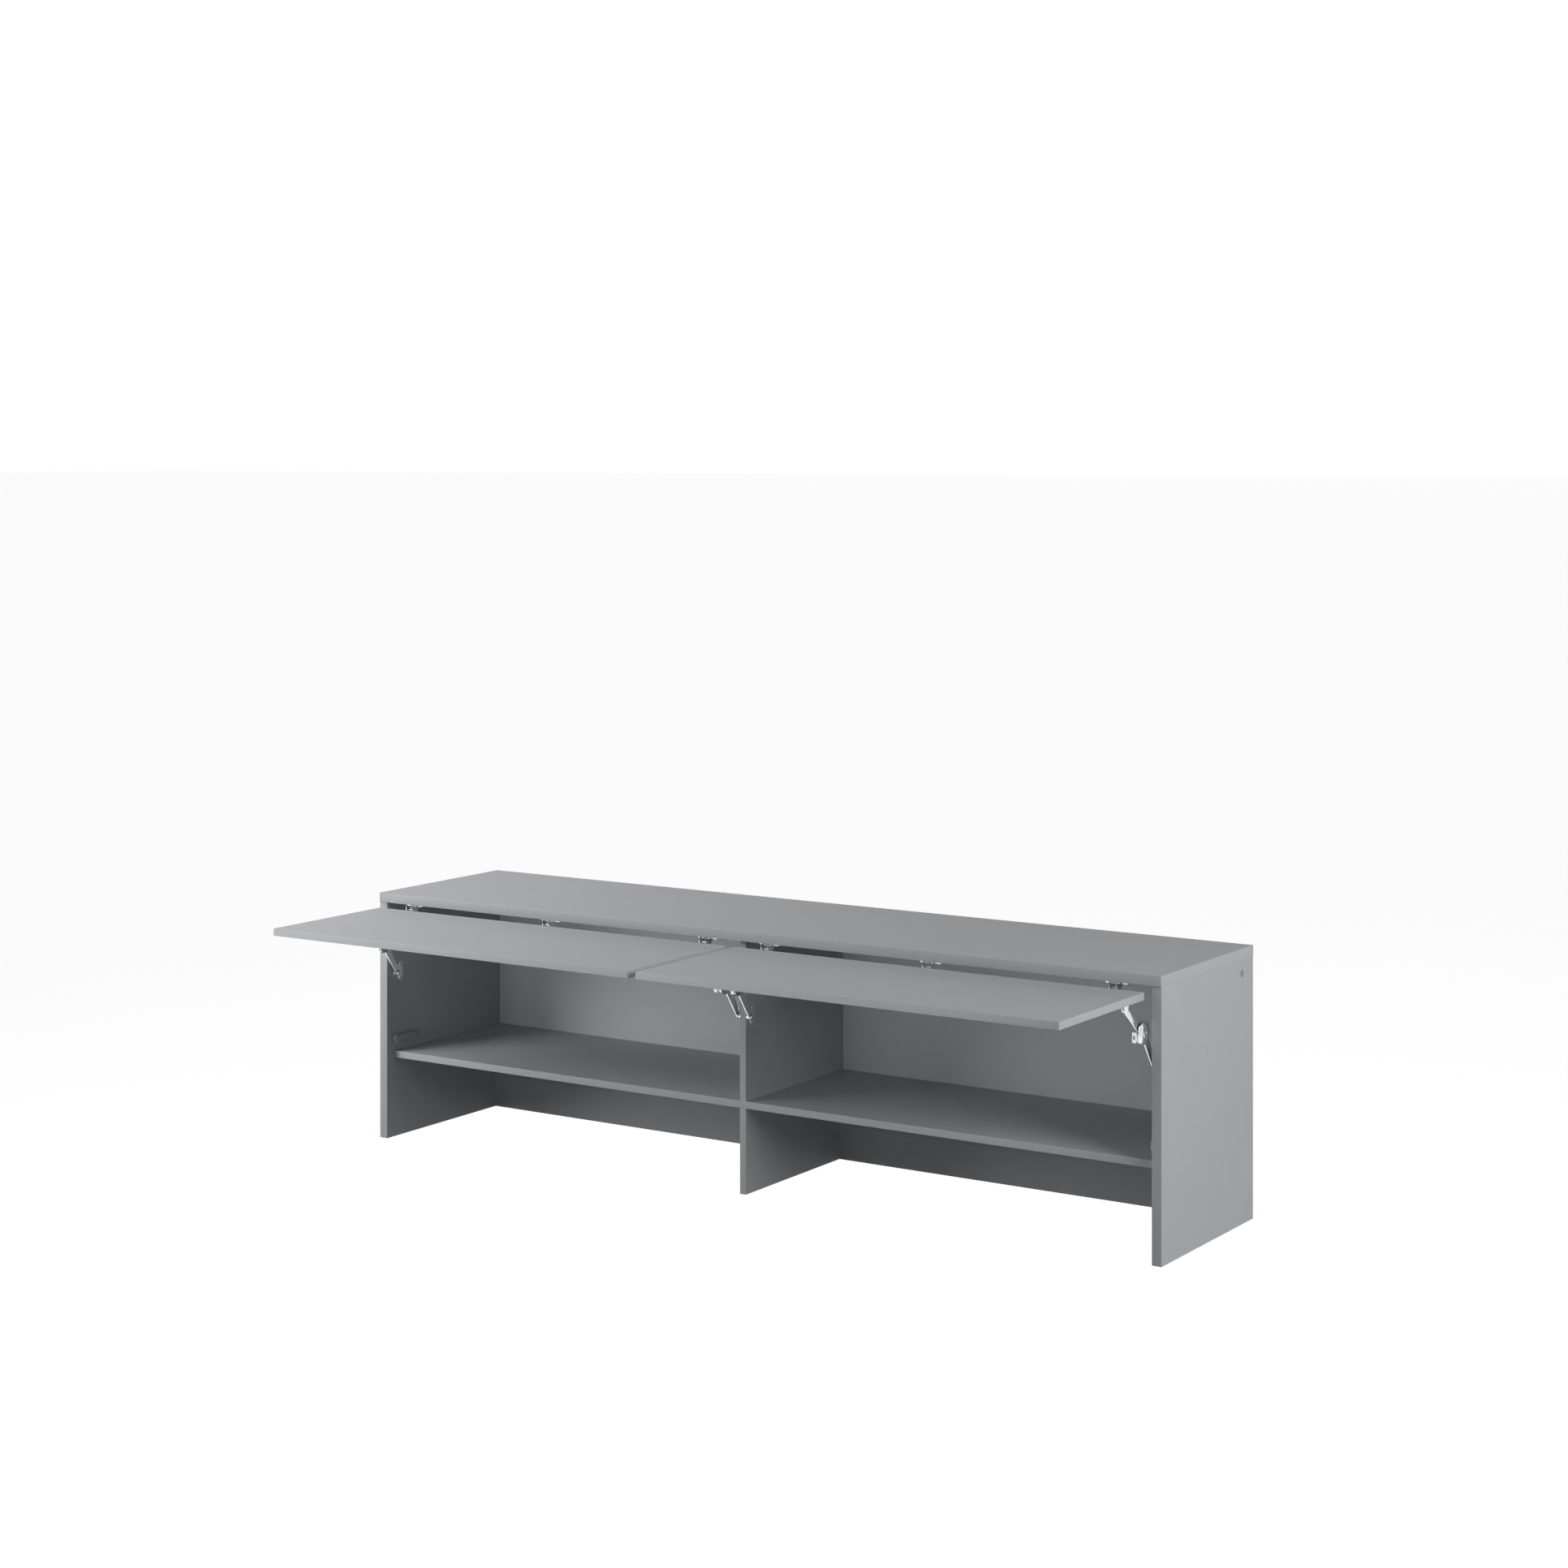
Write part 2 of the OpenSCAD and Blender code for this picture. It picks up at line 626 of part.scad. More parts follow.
// Round wire along a helix, as one closed skin of rings
function coil_point(k, j) =
    let (turn = 360 * k / turn_steps, side = 360 * j / ring_sides, r = spring_r + wire_r * cos(side))
    [r * cos(turn), spring_y0 + (spring_y1 - spring_y0) * k / ring_count + wire_r * sin(side), r * sin(turn)];
module latch_spring(s) {
    points = [for (k = [0:ring_count], j = [0:ring_sides - 1]) coil_point(k, j)];
    last = ring_count * ring_sides;
    walls = [for (k = [0:ring_count - 1], j = [0:ring_sides - 1])
        let (a = k * ring_sides + j, b = k * ring_sides + (j + 1) % ring_sides)
        [a, b, b + ring_sides, a + ring_sides]];
    start = [for (j = [ring_sides - 1:-1:0]) j];
    end = [for (j = [0:ring_sides - 1]) last + j];
    color(steel) on_side(s) translate([in_w - latch_mid, 0, latch_z])
        polyhedron(points, concat(walls, [start, end]));
}

top_panel();
side_panel(0);  // left_side_panel
side_panel(1);  // right_side_panel
fixed_shelf();
upper_divider();
lower_divider();
back_panel(0);  // left_back_panel
back_panel(1);  // right_back_panel
back_joint_strip();
lower_back_board();
cam_locks();
cam_bolts();
wood_dowels();
back_panel_nails();
cover_caps();
wall_hanger(0);  // left_wall_hanger
wall_hanger(1);  // right_wall_hanger
hinge_plates(0);  // left_hinge_plates
hinge_plates(1);  // right_hinge_plates
hinge_plate_screws();
hinge_arms(0);  // left_hinge_arms
hinge_arms(1);  // right_hinge_arms
hinge_rear_links(0);  // left_hinge_rear_links
hinge_rear_links(1);  // right_hinge_rear_links
hinge_front_links(0);  // left_hinge_front_links
hinge_front_links(1);  // right_hinge_front_links
hinge_cups(0);  // left_hinge_cups
hinge_cups(1);  // right_hinge_cups
cup_screws(0);  // left_cup_screws
cup_screws(1);  // right_cup_screws
door_panel(0);  // left_door_panel
door_panel(1);  // right_door_panel
stay_plate(0);  // left_outer_stay_plate
stay_plate(1);  // left_inner_stay_plate
stay_plate(2);  // right_inner_stay_plate
stay_plate(3);  // right_outer_stay_plate
stay_plate_screws();
stay_lower_arm(0);  // left_outer_stay_lower_arm
stay_lower_arm(1);  // left_inner_stay_lower_arm
stay_lower_arm(2);  // right_inner_stay_lower_arm
stay_lower_arm(3);  // right_outer_stay_lower_arm
stay_upper_arm(0);  // left_outer_stay_upper_arm
stay_upper_arm(1);  // left_inner_stay_upper_arm
stay_upper_arm(2);  // right_inner_stay_upper_arm
stay_upper_arm(3);  // right_outer_stay_upper_arm
stay_bracket(0);  // left_outer_stay_bracket
stay_bracket(1);  // left_inner_stay_bracket
stay_bracket(2);  // right_inner_stay_bracket
stay_bracket(3);  // right_outer_stay_bracket
bracket_screws(0);  // left_bracket_screws
bracket_screws(1);  // right_bracket_screws
latch_housing(0);  // left_latch_housing
latch_housing(1);  // right_latch_housing
latch_plunger(0);  // left_latch_plunger
latch_plunger(1);  // right_latch_plunger
latch_spring(0);  // left_latch_spring
latch_spring(1);  // right_latch_spring
latch_screws();
latch_strike(0);  // left_latch_strike
latch_strike(1);  // right_latch_strike
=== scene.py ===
# %% [markdown]
# # An over-bed wall cabinet with two flap doors
# The cabinet hangs on a wall above a bed. It is made of grey melamine-faced chipboard, and its two
# doors swing up on concealed hinges and rest on friction stays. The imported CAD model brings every
# board, hinge and stay in its true place. This script keeps the boards, gives them their edging and
# finishes, and works the metal parts out again as smooth pressed and turned shapes.

import bmesh
import bpy
import numpy as np
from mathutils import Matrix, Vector


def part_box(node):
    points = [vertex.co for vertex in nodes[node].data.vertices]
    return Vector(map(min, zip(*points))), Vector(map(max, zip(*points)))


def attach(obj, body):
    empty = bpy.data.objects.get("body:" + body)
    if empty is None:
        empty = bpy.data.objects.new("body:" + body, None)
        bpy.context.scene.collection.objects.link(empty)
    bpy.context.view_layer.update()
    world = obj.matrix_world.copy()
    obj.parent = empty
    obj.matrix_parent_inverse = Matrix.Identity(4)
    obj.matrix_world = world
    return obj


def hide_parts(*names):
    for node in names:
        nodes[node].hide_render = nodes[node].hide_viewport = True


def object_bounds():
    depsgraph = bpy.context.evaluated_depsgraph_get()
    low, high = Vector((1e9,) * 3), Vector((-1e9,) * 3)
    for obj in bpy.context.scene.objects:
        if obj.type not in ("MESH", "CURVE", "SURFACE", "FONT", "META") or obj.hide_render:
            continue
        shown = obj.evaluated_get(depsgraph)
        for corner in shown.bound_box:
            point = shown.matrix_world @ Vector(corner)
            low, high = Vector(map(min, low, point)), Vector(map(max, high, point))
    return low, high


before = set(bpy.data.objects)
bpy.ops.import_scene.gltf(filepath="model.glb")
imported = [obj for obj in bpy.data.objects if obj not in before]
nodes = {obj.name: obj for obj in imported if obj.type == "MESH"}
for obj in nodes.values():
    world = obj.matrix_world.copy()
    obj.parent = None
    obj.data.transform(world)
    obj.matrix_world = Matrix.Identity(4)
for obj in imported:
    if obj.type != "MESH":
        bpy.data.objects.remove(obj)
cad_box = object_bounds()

MM = 0.001
width, depth, height = (cad_box[1] - cad_box[0]) / MM
print(f"{len(nodes)} CAD nodes in a box of {width:.0f} x {depth:.0f} x {height:.0f} mm")

# %% [markdown]
# ## The tools for shapes
# Almost everything on a cabinet is made in one of three ways: it is pressed from sheet, turned on a
# lathe, or run along an edge as a strip. Each way has its own function below. A function works out
# a whole grid of points at once with numpy, and `make_piece` turns the grids into a mesh. Sizes
# come from the CAD nodes' boxes, so the pieces fit the frame without any fitting by eye.

# %% Places and sizes of the CAD nodes
def low(node):
    return np.array(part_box(node)[0])


def high(node):
    return np.array(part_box(node)[1])


def place(a, b, c, along):
    """Points from two in-plane coordinates a, b and one coordinate c across the plane: a plane
    along x holds (y, z), along y holds (x, z) and along z holds (x, y)."""
    a, b, c = np.broadcast_arrays(a, b, c)
    return np.stack({"x": (c, a, b), "y": (a, c, b), "z": (a, b, c)}[along], axis=-1)


half_width = high("right_side_panel")[0]
under_door = low("left_door_panel")[2]
print(f"half of the cabinet's width is {half_width / MM:.0f} mm")


# %% From grids of points to a mesh
def make_piece(name, shells, body, material, replaces=(), sharp=32):
    """Joins closed shells into one mesh. A shell is a grid of rings: neighbouring points of
    neighbouring rings make a four-sided face, and every ring closes on itself. The first and last
    ring are filled with one flat face each, unless they coincide: then the shell is a loop."""
    vertices, quads, ends, first = [], [], [], 0
    for grid in shells:
        loop = np.allclose(grid[0], grid[-1])
        grid = grid[:-1] if loop else grid
        rings, around = grid.shape[:2]
        starts = np.arange(rings if loop else rings - 1)
        i, j = np.meshgrid(starts, np.arange(around), indexing="ij")
        i2, j2 = (i + 1) % rings, (j + 1) % around
        corners = np.stack([i * around + j, i2 * around + j,
                            i2 * around + j2, i * around + j2], axis=-1)
        quads += (first + corners.reshape(-1, 4)).tolist()
        if not loop:
            ends += [list(range(first, first + around))]
            ends += [list(range(first + (rings - 1) * around, first + rings * around))]
        vertices.append(grid.reshape(-1, 3))
        first += rings * around
    mesh = bpy.data.meshes.new(name)
    mesh.from_pydata(np.concatenate(vertices).tolist(), [], quads + ends)
    shell = bmesh.new()
    shell.from_mesh(mesh)
    bmesh.ops.recalc_face_normals(shell, faces=shell.faces)
    shell.to_mesh(mesh)
    shell.free()
    mesh.shade_smooth()
    mesh.set_sharp_from_angle(angle=np.radians(sharp))
    mesh.materials.append(material)
    piece = bpy.data.objects.new(name, mesh)
    bpy.context.scene.collection.objects.link(piece)
    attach(piece, body)
    if replaces:
        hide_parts(*replaces)
    return piece


# %% Outlines
CORNER_POINTS = 5
ROUND_END_POINTS = 14


def rounded(corners, cut):
    """A polygon with softened corners: each corner becomes the curve (1-t)^2 A + 2t(1-t) P + t^2 B,
    where P is the corner and A and B lie the length `cut` away from it on its two sides."""
    corners = np.array(corners, float)
    cut = np.broadcast_to(cut, len(corners))[:, None]
    before, after = np.roll(corners, 1, axis=0) - corners, np.roll(corners, -1, axis=0) - corners
    start = corners + cut * before / np.linalg.norm(before, axis=1, keepdims=True)
    end = corners + cut * after / np.linalg.norm(after, axis=1, keepdims=True)
    t = np.linspace(0, 1, CORNER_POINTS)[None, :, None]
    curve = (1 - t) ** 2 * start[:, None] + 2 * t * (1 - t) * corners[:, None] + t**2 * end[:, None]
    return curve.reshape(-1, 2)


def box_outline(a0, b0, a1, b1, cut):
    """A rectangle between two corners, its corners softened."""
    return rounded([(a0, b0), (a1, b0), (a1, b1), (a0, b1)], cut)


def stadium(p, q, radius):
    """The outline of a round-ended bar: a half circle about q and a half circle about p, both
    turned to the direction from p to q. One radius serves both ends, or each end has its own."""
    p, q = np.array(p, float), np.array(q, float)
    aim = np.arctan2(q[1] - p[1], q[0] - p[0])
    half = np.linspace(-np.pi / 2, np.pi / 2, ROUND_END_POINTS)
    p_radius, q_radius = np.broadcast_to(radius, 2)
    arc = np.stack([np.cos(aim + half), np.sin(aim + half)], axis=-1)
    return np.vstack([q + q_radius * arc, p - p_radius * arc])


# %% Pressed and turned parts
def pressed(outline, lower, upper, rim, along):
    """A flat part cut from sheet, with soft edges. The outline is drawn at several heights, and
    near the two faces it shrinks along its own normals by rim * (1 - sin t) while the height rises
    by rim * (1 - cos t), which is a quarter circle of radius rim."""
    step = np.roll(outline, -1, axis=0) - np.roll(outline, 1, axis=0)
    step /= np.linalg.norm(step, axis=1, keepdims=True)
    x, y = outline.T
    turn = np.sign(np.sum(x * np.roll(y, -1) - y * np.roll(x, -1)))
    outward = turn * np.stack([step[:, 1], -step[:, 0]], axis=-1)
    t = np.linspace(0, np.pi / 2, 4)
    inset = rim * (1 - np.concatenate([np.sin(t), np.cos(t)]))
    level = np.concatenate([lower + rim * (1 - np.cos(t)), upper - rim * (1 - np.sin(t))])
    points = outline[None] - inset[:, None, None] * outward[None]
    return place(points[..., 0], points[..., 1], level[:, None], along)


def turned(profile, start, axis, sides=36, sink=0.0):
    """A turned part: ring i has radius r_i at height h_i along the axis. The array `sink` lowers
    single points of the grid."""
    r, h = np.array(profile, float).T[:, :, None]
    angle = np.linspace(0, 2 * np.pi, sides, endpoint=False)[None]
    axis = np.array(axis, float)
    side = np.roll(axis, 1)
    up = np.cross(axis, side)
    h = h + 0 * angle - sink
    ring = np.cos(angle)[..., None] * side + np.sin(angle)[..., None] * up
    return np.array(start) + h[..., None] * axis + r[..., None] * ring


def screw(start, axis, head, shank):
    """A pan-head screw with a cross recess, head and shank given as (radius, length). The head's
    height is length * sqrt(1 - 0.8 (r / radius)^2). Its points nearer than 0.16 radii to one of two
    crossed lines, and within 0.6 radii of the axis, sink by 0.6 of its length."""
    sides, slot_half, slot_reach, slot_depth = 32, 0.16, 0.6, 0.6
    (radius, height), (core, length) = head, shank
    share = np.linspace(0.04, 1, 13)
    top = np.stack([radius * share, height * np.sqrt(1 - 0.8 * share**2)], axis=-1)
    stem = [[radius, 0], [core, 0], [core, -length], [0.3 * core, -length - core]]
    angle = np.linspace(0, 2 * np.pi, sides, endpoint=False)
    near = share[:, None] * np.minimum(abs(np.cos(angle)), abs(np.sin(angle)))
    slot = np.clip((slot_half - near) / 0.05, 0, 1)
    slot *= np.clip((slot_reach - share) / 0.08, 0, 1)[:, None]
    sink = np.vstack([slot_depth * height * slot, np.zeros((len(stem), sides))])
    return turned(np.vstack([top, stem]), start, axis, sides, sink=sink)


# %% Strips along an edge
EDGE_TURN = 0.7 * MM
EDGING_THICK = 1.2 * MM
EDGING_PROUD = 0.3 * MM


def edge_path(corners, outward, closed=False):
    """A path along a board's edges: corners in order, and each edge's outward normal. At a corner
    between the normals a and b it follows centre + EDGE_TURN * (cos t a + sin t b), t from 0 to 90
    degrees. Returns the points and their normals."""
    corners, outward = np.array(corners, float), np.array(outward, float)
    turns = corners if closed else corners[1:-1]
    a = np.roll(outward, 1, axis=0) if closed else outward[:-1]
    b = outward if closed else outward[1:]
    t = np.linspace(0, np.pi / 2, CORNER_POINTS)[None, :, None]
    normal = a[:, None] * np.cos(t) + b[:, None] * np.sin(t)
    line = (turns - EDGE_TURN * (a + b))[:, None] + EDGE_TURN * normal
    line, normal = line.reshape(-1, 2), normal.reshape(-1, 2)
    if closed:
        return np.vstack([line, line[:1]]), np.vstack([normal, normal[:1]])
    line = np.vstack([corners[:1], line, corners[-1:]])
    return line, np.vstack([outward[:1], normal, outward[-1:]])


def edging(path, near, far, along):
    """A strip of edging: one profile, a rectangle with its two outer corners softened, is
    carried along the path. Its width spans the board, from near to far, and it stands a little
    proud of every face, so that its rim shows as it does on real edging."""
    line, normal = path
    near, far = near - EDGING_PROUD, far + EDGING_PROUD
    profile = rounded([[-EDGING_THICK, near], [EDGING_PROUD, near],
                       [EDGING_PROUD, far], [-EDGING_THICK, far]],
                      np.array([0.2, 0.85, 0.85, 0.2]) * MM)
    points = line[:, None] + profile[None, :, :1] * normal[:, None]
    return place(points[..., 0], points[..., 1], profile[None, :, 1], along)


def pierced(outer, hole, lower, upper, rim, along):
    """A flat part with a hole: the two outlines have matching points, and the shell goes round the
    outer wall, over the top, down through the hole and back. Rims are bevelled by pulling points a
    share of the way from one outline to the other."""
    share = rim / np.linalg.norm(outer - hole, axis=1).mean()
    walls = [(share, lower), (0, lower + rim), (0, upper - rim), (share, upper),
             (1 - share, upper), (1, upper - rim), (1, lower + rim), (1 - share, lower),
             (share, lower)]
    inward, level = np.array(walls).T[:, :, None]
    points = outer + inward[..., None] * (hole - outer)
    return place(points[..., 0], points[..., 1], level, along)


print("shape tools ready: rounded, stadium, pressed, pierced, turned, screw, edge_path, edging")

# %% [markdown]
# ## Finishes
# Each finish below starts from the real material and how its surface was made. Colours are sRGB hex
# values, as a colour card gives them, and one function turns them into the linear values that
# Blender computes with. Patterns read object coordinates in metres, so a scale of 1 / (size in
# metres) gives a pattern of that real size. The objects all sit at the origin, so a pattern stays
# fixed to its piece when a door swings.

# %% Colour and node helpers
def linear(hex_colour):
    """sRGB to linear: c / 12.92 below 0.04045, otherwise ((c + 0.055) / 1.055) ^ 2.4."""
    c = np.array([int(hex_colour[i:i + 2], 16) for i in (1, 3, 5)]) / 255
    return (*np.where(c <= 0.04045, c / 12.92, ((c + 0.055) / 1.055) ** 2.4).tolist(), 1.0)


def add_node(tree, kind, values=None, links=None, **settings):
    """Adds one node, with its settings, its input values and its incoming links."""
    node = tree.nodes.new(kind)
    for name, value in settings.items():
        setattr(node, name, value)
    for socket, value in (values or {}).items():
        node.inputs[socket].default_value = value
    for socket, source in (links or {}).items():
        tree.links.new(source, node.inputs[socket])
    return node


def new_material(name, roughness, metallic=0.0, ior=1.5, specular=0.5):
    """A material with a Principled shader; returns the material, its tree, shader and the object
    coordinates. A specular level under 0.5 weakens the shine of a broken, matt surface."""
    material = bpy.data.materials.new(name)
    material.use_nodes = True
    tree = material.node_tree
    tree.nodes.clear()
    shader = add_node(tree, "ShaderNodeBsdfPrincipled",
                      values={"Roughness": roughness, "Metallic": metallic, "IOR": ior,
                              "Specular IOR Level": specular})
    add_node(tree, "ShaderNodeOutputMaterial", links={"Surface": shader.outputs["BSDF"]})
    place_in_object = add_node(tree, "ShaderNodeTexCoord").outputs["Object"]
    return material, tree, shader, place_in_object


print("linear grey of #B8BDC0 is", [round(c, 3) for c in linear("#B8BDC0")[:3]])

# %% [markdown]
# ### Melamine-faced chipboard
# The boards are chipboard with a paper foil soaked in melamine resin, pressed on between steel
# plates with a fine pearl texture. The eye gets an even, matt, slightly cool grey, with soft
# highlights and a barely visible grain. The real pores are near 0.3 mm. They are drawn at 1.5 mm
# here, because finer ones vanish at this distance. The boards' rear edges are left raw, so there
# the same material turns to bare chips.

# %% Board finish
board, tree, shader, where = new_material("melamine_faced_chipboard", roughness=0.5, specular=0.15)
cloud = add_node(tree, "ShaderNodeTexNoise", values={"Scale": 1 / (70 * MM), "Detail": 3},
                 links={"Vector": where})
pore = add_node(tree, "ShaderNodeTexNoise", values={"Scale": 1 / (1.5 * MM), "Detail": 2},
                links={"Vector": where})
tone = add_node(tree, "ShaderNodeMix", data_type="RGBA", links={0: cloud.outputs["Fac"]},
                values={6: linear("#B5B8BB"), 7: linear("#BCBFC2")})
speck = add_node(tree, "ShaderNodeMix", data_type="RGBA", blend_type="OVERLAY",
                 values={0: 0.10}, links={6: tone.outputs[2], 7: pore.outputs["Fac"]})
chip = add_node(tree, "ShaderNodeTexVoronoi", values={"Scale": 1 / (3 * MM), "Randomness": 1},
                links={"Vector": where})
chips = add_node(tree, "ShaderNodeMix", data_type="RGBA", links={0: chip.outputs["Color"]},
                 values={6: linear("#8C6C47"), 7: linear("#C9A777")})
depth_in_object = add_node(tree, "ShaderNodeSeparateXYZ", links={"Vector": where})
raw = add_node(tree, "ShaderNodeMath", operation="GREATER_THAN",
               values={1: float(high("top_panel")[1]) - 0.2 * MM},
               links={0: depth_in_object.outputs["Y"]})
surface = add_node(tree, "ShaderNodeMix", data_type="RGBA",
                   links={0: raw.outputs[0], 6: speck.outputs[2], 7: chips.outputs[2]})
gloss = add_node(tree, "ShaderNodeMapRange", links={"Value": cloud.outputs["Fac"]},
                 values={"To Min": 0.46, "To Max": 0.56})
pearl = add_node(tree, "ShaderNodeBump", values={"Strength": 0.25, "Distance": 0.03 * MM},
                 links={"Height": pore.outputs["Fac"]})
tree.links.new(surface.outputs[2], shader.inputs["Base Color"])
tree.links.new(gloss.outputs["Result"], shader.inputs["Roughness"])
tree.links.new(pearl.outputs["Normal"], shader.inputs["Normal"])
boards = ["top_panel", "left_side_panel", "right_side_panel", "fixed_shelf", "upper_divider",
          "lower_divider", "lower_back_board", "left_door_panel", "right_door_panel"]
print("board finish:", len(tree.nodes), "nodes for", len(boards), "boards")

# %% [markdown]
# ### Edging
# The cut edges are hidden by a strip of ABS plastic in the same grey. It is glued on hot, then
# scraped and buffed to a round. It shines a little more than the boards, and its grey and its
# shine vary a touch in soft patches.

# %% Edging finish
edge_plastic, tree, shader, where = new_material("abs_edging", roughness=0.4, ior=1.53,
                                                 specular=0.2)
buffed = add_node(tree, "ShaderNodeTexNoise", values={"Scale": 1 / (12 * MM), "Detail": 2},
                  links={"Vector": where})
tone = add_node(tree, "ShaderNodeMix", data_type="RGBA", links={0: buffed.outputs["Fac"]},
                values={6: linear("#B6B9BC"), 7: linear("#BEC1C4")})
gloss = add_node(tree, "ShaderNodeMapRange", links={"Value": buffed.outputs["Fac"]},
                 values={"To Min": 0.34, "To Max": 0.46})
scrape = add_node(tree, "ShaderNodeTexNoise", values={"Scale": 1 / (0.8 * MM), "Detail": 1},
                  links={"Vector": where})
relief = add_node(tree, "ShaderNodeBump", values={"Strength": 0.15, "Distance": 0.02 * MM},
                  links={"Height": scrape.outputs["Fac"]})
tree.links.new(tone.outputs[2], shader.inputs["Base Color"])
tree.links.new(gloss.outputs["Result"], shader.inputs["Roughness"])
tree.links.new(relief.outputs["Normal"], shader.inputs["Normal"])
print("edging finish:", len(tree.nodes), "nodes")

# %% [markdown]
# ### Lacquered fibreboard
# The back is 3 mm hard fibreboard, lacquered grey on the side that shows and left brown behind.
# One material does both: it changes halfway through the sheet's thickness. The lacquer follows the
# fibres below it, so it has a soft uneven relief of about 4 mm.

# %% Back finish
fibreboard, tree, shader, where = new_material("lacquered_fibreboard", roughness=0.55,
                                               specular=0.15)
fibre = add_node(tree, "ShaderNodeTexNoise", links={"Vector": where},
                 values={"Scale": 1 / (4 * MM), "Detail": 4, "Distortion": 0.6})
lacquer = add_node(tree, "ShaderNodeMix", data_type="RGBA", links={0: fibre.outputs["Fac"]},
                   values={6: linear("#D8DBDC"), 7: linear("#E0E3E4")})
bare = add_node(tree, "ShaderNodeMix", data_type="RGBA", links={0: fibre.outputs["Fac"]},
                values={6: linear("#6E4F34"), 7: linear("#9C7A55")})
through = add_node(tree, "ShaderNodeSeparateXYZ", links={"Vector": where})
behind = add_node(tree, "ShaderNodeMath", operation="GREATER_THAN", links={0: through.outputs["Y"]},
                  values={1: float(low("left_back_panel")[1]) + 1.5 * MM})
sheet = add_node(tree, "ShaderNodeMix", data_type="RGBA",
                 links={0: behind.outputs[0], 6: lacquer.outputs[2], 7: bare.outputs[2]})
relief = add_node(tree, "ShaderNodeBump", values={"Strength": 0.3, "Distance": 0.08 * MM},
                  links={"Height": fibre.outputs["Fac"]})
tree.links.new(sheet.outputs[2], shader.inputs["Base Color"])
tree.links.new(relief.outputs["Normal"], shader.inputs["Normal"])
print("fibreboard finish:", len(tree.nodes), "nodes")

# %% [markdown]
# ### Metals
# Hinges and stays are pressed from steel strip and nickel-plated: bright and neutral, with faint
# waves left by the press. The hinges' cast plates have the same plating. Screws, links and hooks
# are zinc-plated, which is cooler and patchier. The cam locks are bare die-cast zinc alloy, dull
# and slightly sandy. All three are metals, so their colour is the colour of their reflection.

# %% Nickel, zinc plate and die-cast zinc
metals = {}
for name, dark, light, rough, smooth, patch, ripple in [
    ("nickel_plated_pressed_steel", "#D3D4D5", "#EBECED", 0.2, 0.1, 9, 0.06),
    ("zinc_plated_steel", "#B4BAC1", "#D0D4D8", 0.36, 0.22, 5, 0.10),
    ("die_cast_zinc_alloy", "#85898C", "#9DA1A3", 0.55, 0.42, 3, 0.35),
]:
    metal, tree, shader, where = new_material(name, roughness=rough, metallic=1.0)
    cloud = add_node(tree, "ShaderNodeTexNoise", values={"Scale": 1 / (patch * MM), "Detail": 3},
                     links={"Vector": where})
    tone = add_node(tree, "ShaderNodeMix", data_type="RGBA", links={0: cloud.outputs["Fac"]},
                    values={6: linear(dark), 7: linear(light)})
    gloss = add_node(tree, "ShaderNodeMapRange", links={"Value": cloud.outputs["Fac"]},
                     values={"To Min": rough, "To Max": smooth})
    fine = add_node(tree, "ShaderNodeTexNoise", values={"Scale": 1 / (0.7 * MM), "Detail": 2},
                    links={"Vector": where})
    relief = add_node(tree, "ShaderNodeBump", values={"Strength": ripple, "Distance": 0.03 * MM},
                      links={"Height": fine.outputs["Fac"]})
    tree.links.new(tone.outputs[2], shader.inputs["Base Color"])
    tree.links.new(gloss.outputs["Result"], shader.inputs["Roughness"])
    tree.links.new(relief.outputs["Normal"], shader.inputs["Normal"])
    metals[name] = metal
nickel, zinc, die_cast = metals.values()
print("metal finishes:", ", ".join(metals))

# %% [markdown]
# ### Moulded plastic and beech
# The latches are light grey ABS, the cover caps and hanger housings a darker one. The moulds are
# spark-eroded, which leaves a fine even grain of about 0.4 mm, drawn here at 0.8 mm so that it
# shows. The dowels are beech, with fine brown pores drawn out along the grain.

# %% Plastics and beech
plastics = {}
for name, dark, light in [("moulded_light_grey_abs", "#9EA2A4", "#A9ADAF"),
                          ("moulded_mid_grey_abs", "#7F8486", "#888D8F")]:
    plastic, tree, shader, where = new_material(name, roughness=0.45, ior=1.54)
    spark = add_node(tree, "ShaderNodeTexNoise", values={"Scale": 1 / (0.8 * MM), "Detail": 1},
                     links={"Vector": where})
    flow = add_node(tree, "ShaderNodeTexNoise", values={"Scale": 1 / (18 * MM), "Detail": 2},
                    links={"Vector": where})
    tone = add_node(tree, "ShaderNodeMix", data_type="RGBA", links={0: flow.outputs["Fac"]},
                    values={6: linear(dark), 7: linear(light)})
    relief = add_node(tree, "ShaderNodeBump", values={"Strength": 0.3, "Distance": 0.04 * MM},
                      links={"Height": spark.outputs["Fac"]})
    tree.links.new(tone.outputs[2], shader.inputs["Base Color"])
    tree.links.new(relief.outputs["Normal"], shader.inputs["Normal"])
    plastics[name] = plastic
light_plastic, mid_plastic = plastics.values()

beech, tree, shader, where = new_material("beech", roughness=0.6)
stretched = add_node(tree, "ShaderNodeMapping", values={"Scale": (1, 1, 0.12)},
                     links={"Vector": where})
pores = add_node(tree, "ShaderNodeTexNoise", values={"Scale": 1 / (0.9 * MM), "Detail": 3},
                 links={"Vector": stretched.outputs["Vector"]})
tone = add_node(tree, "ShaderNodeMix", data_type="RGBA", links={0: pores.outputs["Fac"]},
                values={6: linear("#B58A5C"), 7: linear("#DDBB8E")})
tree.links.new(tone.outputs[2], shader.inputs["Base Color"])
print("plastic finishes:", ", ".join(plastics), "and beech")

# %% [markdown]
# ## Finishes on the CAD nodes
# Boards, backs and the small hidden fittings keep their CAD shapes, with their true holes and
# grooves. Only their material changes.

